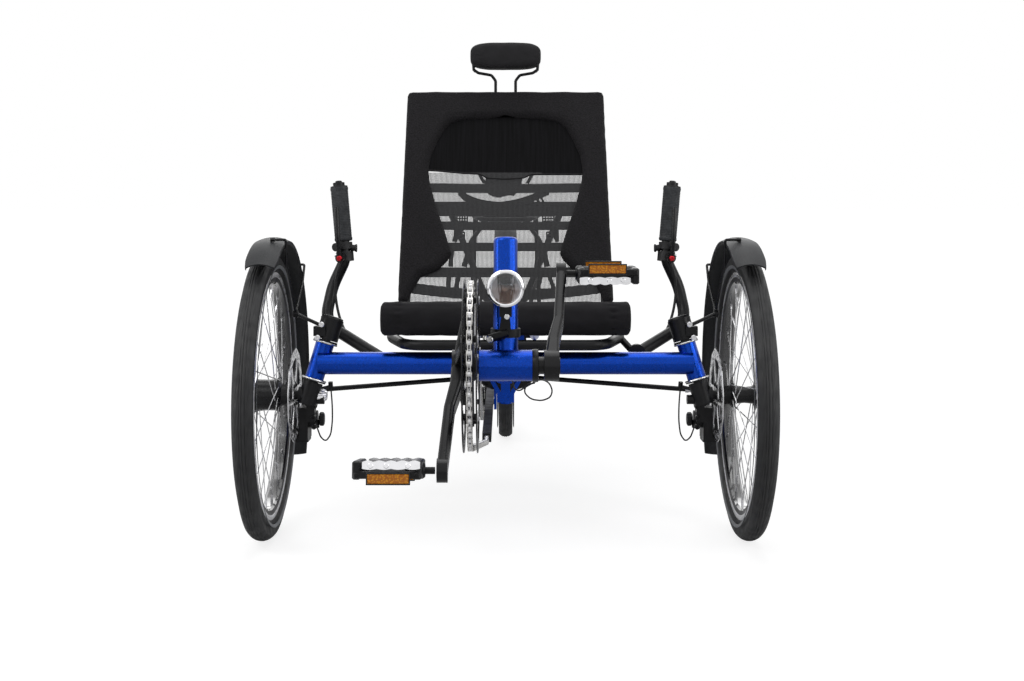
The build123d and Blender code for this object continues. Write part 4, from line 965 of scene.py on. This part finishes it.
def stay_wires(name, side):
    """The rod from the kingpin clamp, its joint, and two wires bent over the mudguard."""
    low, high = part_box(f"mudguard_{name}")
    centre = guard_centre(name)
    radius = high.z - centre.z
    beside, top = Vector((-side * ((high.x - low.x) / 2 + 0.0031), 0, 0)), radius + 0.0029
    clamp, knee = king_point(0.362, side), Vector((side * 0.361, AXLE_Y + 0.020, 0.380))
    stay = Piece()
    stay.rod(clamp + Vector((side * 0.0185, 0.004, -0.002)), knee, 0.0031, sides=14)
    stay.lathe(mm([(-4.2, 0.5), (-4.2, 5.8), (-3, 6.8), (4, 6.8), (4.8, 5.8), (4.8, 0.5)]), knee, 24)
    for angle in (-12, 38):
        out = wheel_point(radians(angle), 1.0)
        rise = centre + beside + out * (radius - 0.040)
        start, tip = (rise - knee).normalized(), centre + beside * 0.27 + out * top
        stay.tube([knee, rise - start * 0.012, rise - start * 0.004, rise + out * 0.004, rise + out * 0.014,
                   centre + beside + out * (top - 0.006), centre + beside * 0.98 + out * (top - 0.0012),
                   centre + beside * 0.86 + out * top, tip], 0.0023, 12, 4)
        stay.lathe(mm([(-3.4, 0.5), (-3.4, 3.4), (3, 3.4), (4.2, 2.4), (4.2, 0.5)]), tip, 16)
    node = f"mudguard_stay_{name}"
    stay.done(f"{node}_wires", GLOSS, f"knuckle_{name}", "black_metal", (node,), 35)


def knuckles():
    rings = Piece()
    for name, side in SIDES:
        up = king_point(1, side) - king_point(0, side)
        bearing_rings(rings, side, up)
        knuckle_fittings(name, side, up)
        rod_nuts(name, side)
        stay_wires(name, side)
    rings.done("kingpin_rings", STEEL, "frame", "black_metal", sharp=30)


# ---- seat ---------------------------------------------------------------------------------------
BACK_LOW, BACK_RUN = Vector((0, 0.405 + AXLE_Y, 0.376)), Vector((0, 301, 438)).normalized()
BACK_OUT = Vector((0, -BACK_RUN.z, BACK_RUN.y))
BACK_LENGTH, BACK_HALF = 0.5314, 0.215
ACROSS = (1, 0, 0)


def back_point(x, along, out=0.0):
    """A point of the backrest: out is ahead of its front face."""
    return BACK_LOW + Vector((x, 0, 0)) + BACK_RUN * along + BACK_OUT * out


OPENING = mm((  # up the backrest, half the opening's width, in millimetres
    (0, 196), (30, 186), (46, 178), (59.4, 171), (77, 136), (100, 117), (116, 110), (136.4, 115.5),
    (187.7, 130.5), (227.5, 143), (290, 159), (316.6, 162.5), (330, 163), (360, 159), (400, 146),
    (432, 132), (449, 118), (458.5, 95), (462.5, 60), (464, 30), (464.5, 0)))
HEM = mm((  # x, the arch panel's lower edge, which dips in the middle, in millimetres
    (-166, 323.5), (-58, 316), (-36, 305.1), (0, 303), (34, 305.1), (57, 315), (166, 313.5)))


def hem_line(x):
    """The hem's height at x, its stretches joined smoothly."""
    for (a, low_a), (b, low_b) in zip(HEM, HEM[1:]):
        if a <= x <= b:
            share = (x - a) / (b - a)
            return low_a + (low_b - low_a) * (3 * share**2 - 2 * share**3)
    return HEM[0][1]


def creases(x, along):
    """Small folds pulled down and outwards by the straps."""
    wave = noise.noise(Vector((x * 22 + along * 9, along * 6, 3.1))) * 0.0022
    return wave + noise.noise(Vector((x * 60, along * 14, 8.7))) * 0.0006


def gap_to_opening(x, along):
    """How far a point of the cover is from the opening's edge."""
    best = 1.0
    for (a, wa), (b, wb) in zip(OPENING, OPENING[1:]):
        out, up, run = abs(x) - wa, along - a, Vector((wb - wa, b - a))
        share = min(max(Vector((out, up)).dot(run) / run.length_squared, 0), 1)
        best = min(best, math.hypot(out - run.x * share, up - run.y * share))
    return best


def seat_cover():
    """One padded panel round the opening, its edges rolled back over the frame."""
    panel = Piece()
    rows, columns, corner, thick, face = 150, 15, 0.009, 0.0115, -0.012
    rings = []
    for side in (-1, 1):
        for i in range(rows + 1):
            along = BACK_LENGTH * i / rows
            near_end = min(along, BACK_LENGTH - along)
            inset = corner - math.sqrt(max(corner**2 - max(corner - near_end, 0) ** 2, 0))
            wide = BACK_HALF - inset - 0.0015 * abs(noise.noise(Vector((along * 30, side * 2, 0))))
            narrow = min(interpolate(OPENING, along), wide - 0.008)
            front, back = [], []
            for j in range(columns):
                x = narrow + (wide - narrow) * (0.5 - 0.5 * cos(pi * j / (columns - 1)))
                edge_gap = max(min(wide - x, near_end * 1.5), 0)
                full = min(1, math.sqrt(edge_gap / 0.007))
                full *= min(1, math.sqrt(gap_to_opening(x, along) / 0.012))
                ripple = creases(side * x, along) * full
                front.append(back_point(side * x, along, min(face + thick * full + ripple, 0.002)))
                back.append(back_point(side * x, along, face - thick * full))
            rings.append(front + back[::-1])

    def inner(i, j):
        """Faces between the two sides, and those above the opening, where the panel's halves meet."""
        joined = interpolate(OPENING, BACK_LENGTH * (i % (rows + 1) + 0.5) / rows) == 0
        return i == rows or (joined and j == 2 * columns - 1)

    panel.loft(rings, caps=False, skip=inner)
    panel.weld()
    return panel.done("seat_cover", SPACER, "frame", "seat_fabric", ("seat_back",), 60)


def arch_panel():
    """The cloth that closes the opening's top, and the hem along its lower edge."""
    arch, hem = Piece(), Piece()
    grid, top = [], 0.4674
    for i in range(41):
        row = []
        for j in range(61):
            across = j / 30 - 1
            low = hem_line(0.166 * across)
            along = low + (top - low) * i / 40
            half = interpolate(OPENING, max(along - 0.004, 0.3)) + 0.004
            row.append(back_point(half * across, along, -0.012 - 0.002 * cos(pi * across / 2)))
        grid.append(row)
    arch.sheet(grid, BACK_OUT * -0.0016)
    hem.tube([p + BACK_OUT * 0.0004 for p in grid[0]], 0.0018, 8, 1)
    return (arch.done("seat_arch_panel", ARCH, "frame", "seat_fabric", sharp=60),
            hem.done("seat_arch_hem", WEB, "frame", "seat_fabric"))


def seat_net():
    net = Piece()
    grid = []
    for i in range(41):
        along = 0.002 + 0.318 * i / 40
        half = interpolate(OPENING, along) + 0.004
        grid.append([back_point(half * (j / 20 - 1), along, -0.0135) for j in range(41)])
    net.sheet(grid)
    return net.done("seat_net", NET, "frame", "seat_fabric")


def seat_back():
    cover, (arch, hem), net = seat_cover(), arch_panel(), seat_net()


BANDS = mm((  # lower edge, upper edge, how much higher the ends are than the middle, in millimetres
    (272.7, 295.5, 0), (213, 239.1, 0), (179.4, 199.3, 0), (128.2, 147.7, 0), (65.2, 88.4, 0),
    (11.7, 36.1, 16)))
TIES = mm((  # half widths at both ends, then (x, along) points, in millimetres
    (10.5, 9.5, ((-100, 279), (-82, 261), (-52, 247), (-16, 241.5), (16, 246), (50, 258), (92, 279))),
    (3.5, 3.5, ((-58, 328.5), (-52, 313.5), (-44, 298.5))),
    (3.5, 3.5, ((60, 328.5), (53, 313.5), (46, 298.5))),
    (10, 4.5, ((-96, 183.5), (-100, 167.5), (-105.5, 151.5))),
    (10, 3.5, ((99.5, 183.5), (103.5, 167.5), (106.5, 151.5))),
    (4.8, 4.6, ((-109.5, 131.5), (-111, 111.5), (-112, 91.5))),
    (4.6, 4.3, ((-114.5, 69.5), (-115, 55.5), (-115, 39.5))),
    (4.2, 6, ((-78.5, 131.5), (-80, 111.5), (-84, 91.5))),
    (2.5, 3.5, ((-70, 131.5), (-69.5, 111.5), (-69, 91.5))),
    (5, 4.6, ((-95, 69.5), (-97.5, 55.5), (-99.5, 39.5))),
    (2.2, 2.2, ((64, 131.5), (62, 111.5), (60.2, 91.5))),
    (2.2, 2.2, ((71.2, 131.5), (69, 111.5), (66.8, 91.5))),
    (4.5, 6.2, ((79.5, 131.5), (81, 111.5), (84.5, 91.5))),
    (4.6, 4.4, ((71, 69.5), (68, 55.5), (65.5, 39.5))),
    (4, 4.4, ((88, 69.5), (92.5, 55.5), (96.8, 39.5))),
    (3, 3, ((64, 260.5), (69, 251.5), (74.5, 240.5))),
    (2.2, 2.2, ((73.5, 263.5), (79, 251.5), (83.5, 240.5))),
    (2.4, 2.4, ((-88, 250.5), (-80, 244.5), (-72, 239.5))),
))
POUCH = mm((  # x and place up the backrest, in millimetres
    (-40, 322.5), (-44.5, 300), (-44, 281.5), (-34, 270.5), (-24, 265.5), (-12, 264), (-2, 267.5),
    (8, 269.5), (17, 268), (24, 276.5), (34, 300), (37, 322.5)))
BUCKLES = mm((  # x, along, half the width, places of the upright bars between the sides, in millimetres
    (-90, 206.5, 11.2, (-5.5, 0, 5.5)), (88.5, 206.5, 11.2, (-5.5, 0, 5.5)), (-90.5, 165.5, 5.5, ()),
    (90.5, 165.5, 5.5, ())))


def strap(piece, line, halves, thick=0.0014):
    """Webbing along a line of points, with half its width as a vector for each."""
    normal = (line[-1] - line[0]).normalized().cross(halves[0]).normalized() * thick / 2
    piece.loft([[at - half - normal, at + half - normal, at + half + normal, at - half + normal]
                for at, half in zip(line, halves)])


def straps():
    """Webbing across the back of the net, laced to both side tubes, with ties, a pouch and buckles."""
    webs, buckles, pouch = Piece(), Piece(), Piece()
    for low, high, lift in BANDS:
        places = [k / 12 - 1 for k in range(25)]
        line = [back_point(0.196 * t, (low + high) / 2 + lift * t**2, -0.0185 - 0.003 * (1 - t**2))
                for t in places]
        strap(webs, line, [BACK_RUN * (high - low) / 2] * len(line))
    for half, end_half, points in TIES:
        line = smooth_line([back_point(x, along, -0.0228) for x, along in points], 5)
        wide = BACK_OUT.cross(line[-1] - line[0]).normalized()
        strap(webs, line, [wide * (half + (end_half - half) * k / (len(line) - 1)) for k in range(len(line))])
    pouch.plate(POUCH, back_point(0, 0, -0.0245), ACROSS, BACK_RUN, 0.0035)

    def bar(x, along, half_x, half_along, out, thick):
        outline = [(-half_x, -half_along), (half_x, -half_along), (half_x, half_along), (-half_x, half_along)]
        buckles.plate(outline, back_point(x, along, out), ACROSS, BACK_RUN, thick)

    for x, along, half, uprights in BUCKLES:
        for dx in (-half, half):
            bar(x + dx, along, 0.0013, 0.0075, -0.0195, 0.003)
        for d in (-0.0072, 0.0, 0.0072):
            bar(x, along + d, half, 0.0012, -0.0195, 0.003)
        for dx in uprights:
            bar(x + dx, along, 0.0012, 0.0072, -0.0192, 0.0022)
    webs.done("seat_straps", WEB, "frame", "seat_fabric", sharp=50)
    pouch.done("seat_pouch", SEAT, "frame", "seat_fabric", sharp=50)
    buckles.done("seat_buckles", PLASTIC, "frame", "black_plastic")


def seat_roll(low, high, centre, radius):
    """The roll at the base's front, its cloth gathered near both ends."""
    roll, rings = Piece(), []
    width, steps, around, tucked = high.x - low.x, 150, 64, 0.005
    for i in range(steps + 1):
        share = i / steps
        x, end = low.x + width * share, min(share, 1 - share) * width
        r = radius - 0.0006
        if end < tucked:
            r *= 0.72 + 0.28 * math.sqrt(max(end, 0.0001) / tucked)
        gather = math.exp(-((end - 0.030) / 0.007) ** 2) * 0.0042
        ring = []
        for j in range(around):
            c, s = cos(2 * pi * j / around), sin(2 * pi * j / around)
            fold = noise.noise(Vector((x * 40, c * 2.2, s * 2.2))) * 0.0009
            fold += gather * (noise.noise(Vector((c * 5, s * 5, round(share)))) - 0.35)
            fold += noise.noise(Vector((x * 7, c * 3, s * 3 + 5))) * 0.0012
            reach = min(r + fold, radius - 0.0001)
            ring.append(Vector((x, centre.y + reach * c, centre.z + reach * s)))
        rings.append(ring)
    roll.loft(rings)
    return roll.done("seat_roll", SEAT, "frame", "seat_fabric", ("seat_base",), 60)


def seat_sling(front_y, length):
    """The slung cloth behind the roll, sagging a little between the rails."""
    sling, grid, half = Piece(), [], 0.1895
    for i in range(61):
        y, row = front_y + length * i / 60, []
        for j in range(61):
            x = half * (j / 30 - 1)
            sag = 0.010 * (1 - (x / half) ** 2) * sin(pi * min(i / 40, 1) * 0.5)
            z = 0.3655 - sag + noise.noise(Vector((x * 14, y * 11, 2))) * 0.0013
            row.append(Vector((x, y, min(z, 0.3679))))
        grid.append(row)
    sling.sheet(grid, Vector((0, 0, -0.004)))
    return sling.done("seat_sling", SPACER, "frame", "seat_fabric", sharp=60)


def seat_base():
    low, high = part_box("seat_base")
    radius = 0.0295
    centre = Vector((0, AXLE_Y, high.z - radius))
    length = high.y - centre.y - 0.014
    roll, sling = seat_roll(low, high, centre, radius), seat_sling(centre.y + 0.012, length)


def headrest():
    """A firm oval pad, its cloth drawn tight to a seam round the back."""
    low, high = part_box("headrest_pad")
    mid, size = (low + high) / 2, (high - low) / 2
    pad, seam, ends = Piece(), Piece(), Piece()
    rings, steps, around, squareness = [], 72, 96, 3.7
    for i in range(steps + 1):
        t = -1 + 2 * i / steps
        shrink = max((1 - abs(t) ** 5) ** 0.42 if abs(t) < 1 else 0.0, 0.02)
        ring = []
        for j in range(around):
            c, s = cos(2 * pi * j / around), sin(2 * pi * j / around)
            reach = (abs(c) ** squareness + abs(s) ** squareness) ** (-1 / squareness)
            x = mid.x + size.x * (1 - 0.32 * (1 - shrink)) * c * reach
            z = mid.z + size.z * (0.3 + 0.7 * shrink) * s * reach
            wrinkle = noise.noise(Vector((c * 3, s * 3, t * 2))) * 0.0006
            x = min(max(x, low.x), high.x)
            ring.append(Vector((x, mid.y + size.y * t * 0.985 + wrinkle, z + wrinkle)))
        rings.append(ring)
    pad.loft(rings)
    cushion = pad.done("headrest_cushion", PAD, "frame", "seat_fabric", ("headrest_pad",), 70)
    round_back = rings[int(steps * 0.78)]
    seam.tube(round_back + round_back[:1], 0.0009, 6, 1)
    seam.done("headrest_seam", WEB, "frame", "seat_fabric")
    for side in (-1, 1):
        foot = Vector((side * 0.070, mid.y, low.z - 0.001))
        ends.tube([foot + Vector((-side * 0.004, 0, -0.004)), foot, foot + Vector((side * 0.001, 0, 0.014))],
                  0.0034, 10, 1)
    ends.done("headrest_rod_ends", BLACK, "frame", "black_metal")


# ---- the picture --------------------------------------------------------------------------------
LAMPS = (  # name, place, size, watts, what it points at
    ("key", (-2.2, -2.6, 3.2), (2.2, 1.4), 42, (0, 0, 0.4)),
    ("fill", (2.8, -2.4, 1.6), (2.0, 2.0), 20, (0, 0, 0.4)),
    ("top", (0.2, 0.2, 3.4), (2.6, 2.6), 34, (0, 0, 0.3)),
    ("strip_left", (-1.9, -0.9, 0.9), (0.3, 1.8), 8, (0, -0.3, 0.3)),
    ("strip_right", (1.9, -0.9, 0.9), (0.3, 1.8), 8, (0, -0.3, 0.3)),
    ("back", (0, 3.2, 1.8), (3.0, 1.6), 22, (0, 0, 0.4)),
)


def room():
    """A soft grey world that the camera, glass and metal see as white."""
    world = bpy.data.worlds.new("studio")
    world.use_nodes = True
    bpy.context.scene.world = world
    nodes, links = world.node_tree.nodes, world.node_tree.links
    nodes.clear()

    def node(kind, *inputs, **settings):
        made = nodes.new("ShaderNode" + kind)
        for key, value in settings.items():
            setattr(made, key, value)
        for socket, value in zip(made.inputs, inputs):
            if hasattr(value, "is_output"):
                links.new(value, socket)
            else:
                socket.default_value = value
        return made.outputs

    rays = node("LightPath")
    direct = node("Math", rays["Is Camera Ray"], rays["Is Transmission Ray"], operation="MAXIMUM")[0]
    seen = node("Math", direct, rays["Is Glossy Ray"], operation="MAXIMUM")[0]
    soft, white = node("Background", (1, 1, 1, 1), 0.22)[0], node("Background", (1, 1, 1, 1), 1.0)[0]
    node("OutputWorld", node("MixShader", seen, soft, white)[0])


def placed(name, data, at=(0, 0, 0), turned=(0, 0, 0)):
    """Puts a lamp, camera or mesh into the scene."""
    thing = bpy.data.objects.new(name, data)
    thing.location, thing.rotation_euler = at, turned
    bpy.context.scene.collection.objects.link(thing)
    return thing


# The photo's view: the eye's place, the lens and sensor in millimetres, and how far the frame is shifted.
EYE, LENS, SENSOR, SHIFT = (0, AXLE_Y - 2.47, 0.58), 50.98, 36, (0.00625, -0.1401)
FLOOR = ((-30, -6, 0), (30, -6, 0), (30, 60, 0), (-30, 60, 0))


def studio():
    """Lamps, floor and camera."""
    bpy.context.scene.view_settings.view_transform = "Standard"
    room()
    for name, at, (width, depth), power, aim in LAMPS:
        light = bpy.data.lights.new(name, "AREA")
        light.shape, light.size, light.size_y, light.energy = "RECTANGLE", width, depth, power
        placed(name, light, at, (Vector(aim) - Vector(at)).to_track_quat("-Z", "Y").to_euler())
    floor = bpy.data.meshes.new("floor")
    floor.from_pydata(FLOOR, [], [(0, 1, 2, 3)])
    floor.materials.append(pale_floor())
    placed("floor", floor)
    camera = bpy.data.cameras.new("camera")
    camera.lens, camera.sensor_width = LENS, SENSOR
    camera.shift_x, camera.shift_y = SHIFT
    bpy.context.scene.camera = placed("camera", camera, EYE, (pi / 2, 0, 0))


def main():
    finish_solids()
    wheels()
    mudguards()
    chain()
    chainrings()
    sprockets()
    cranks()
    for name, side in SIDES:
        pedal(name, side)
    headlamp()
    grips()
    bar_fittings()
    knuckles()
    seat_back()
    straps()
    seat_base()
    headrest()
    studio()


main()
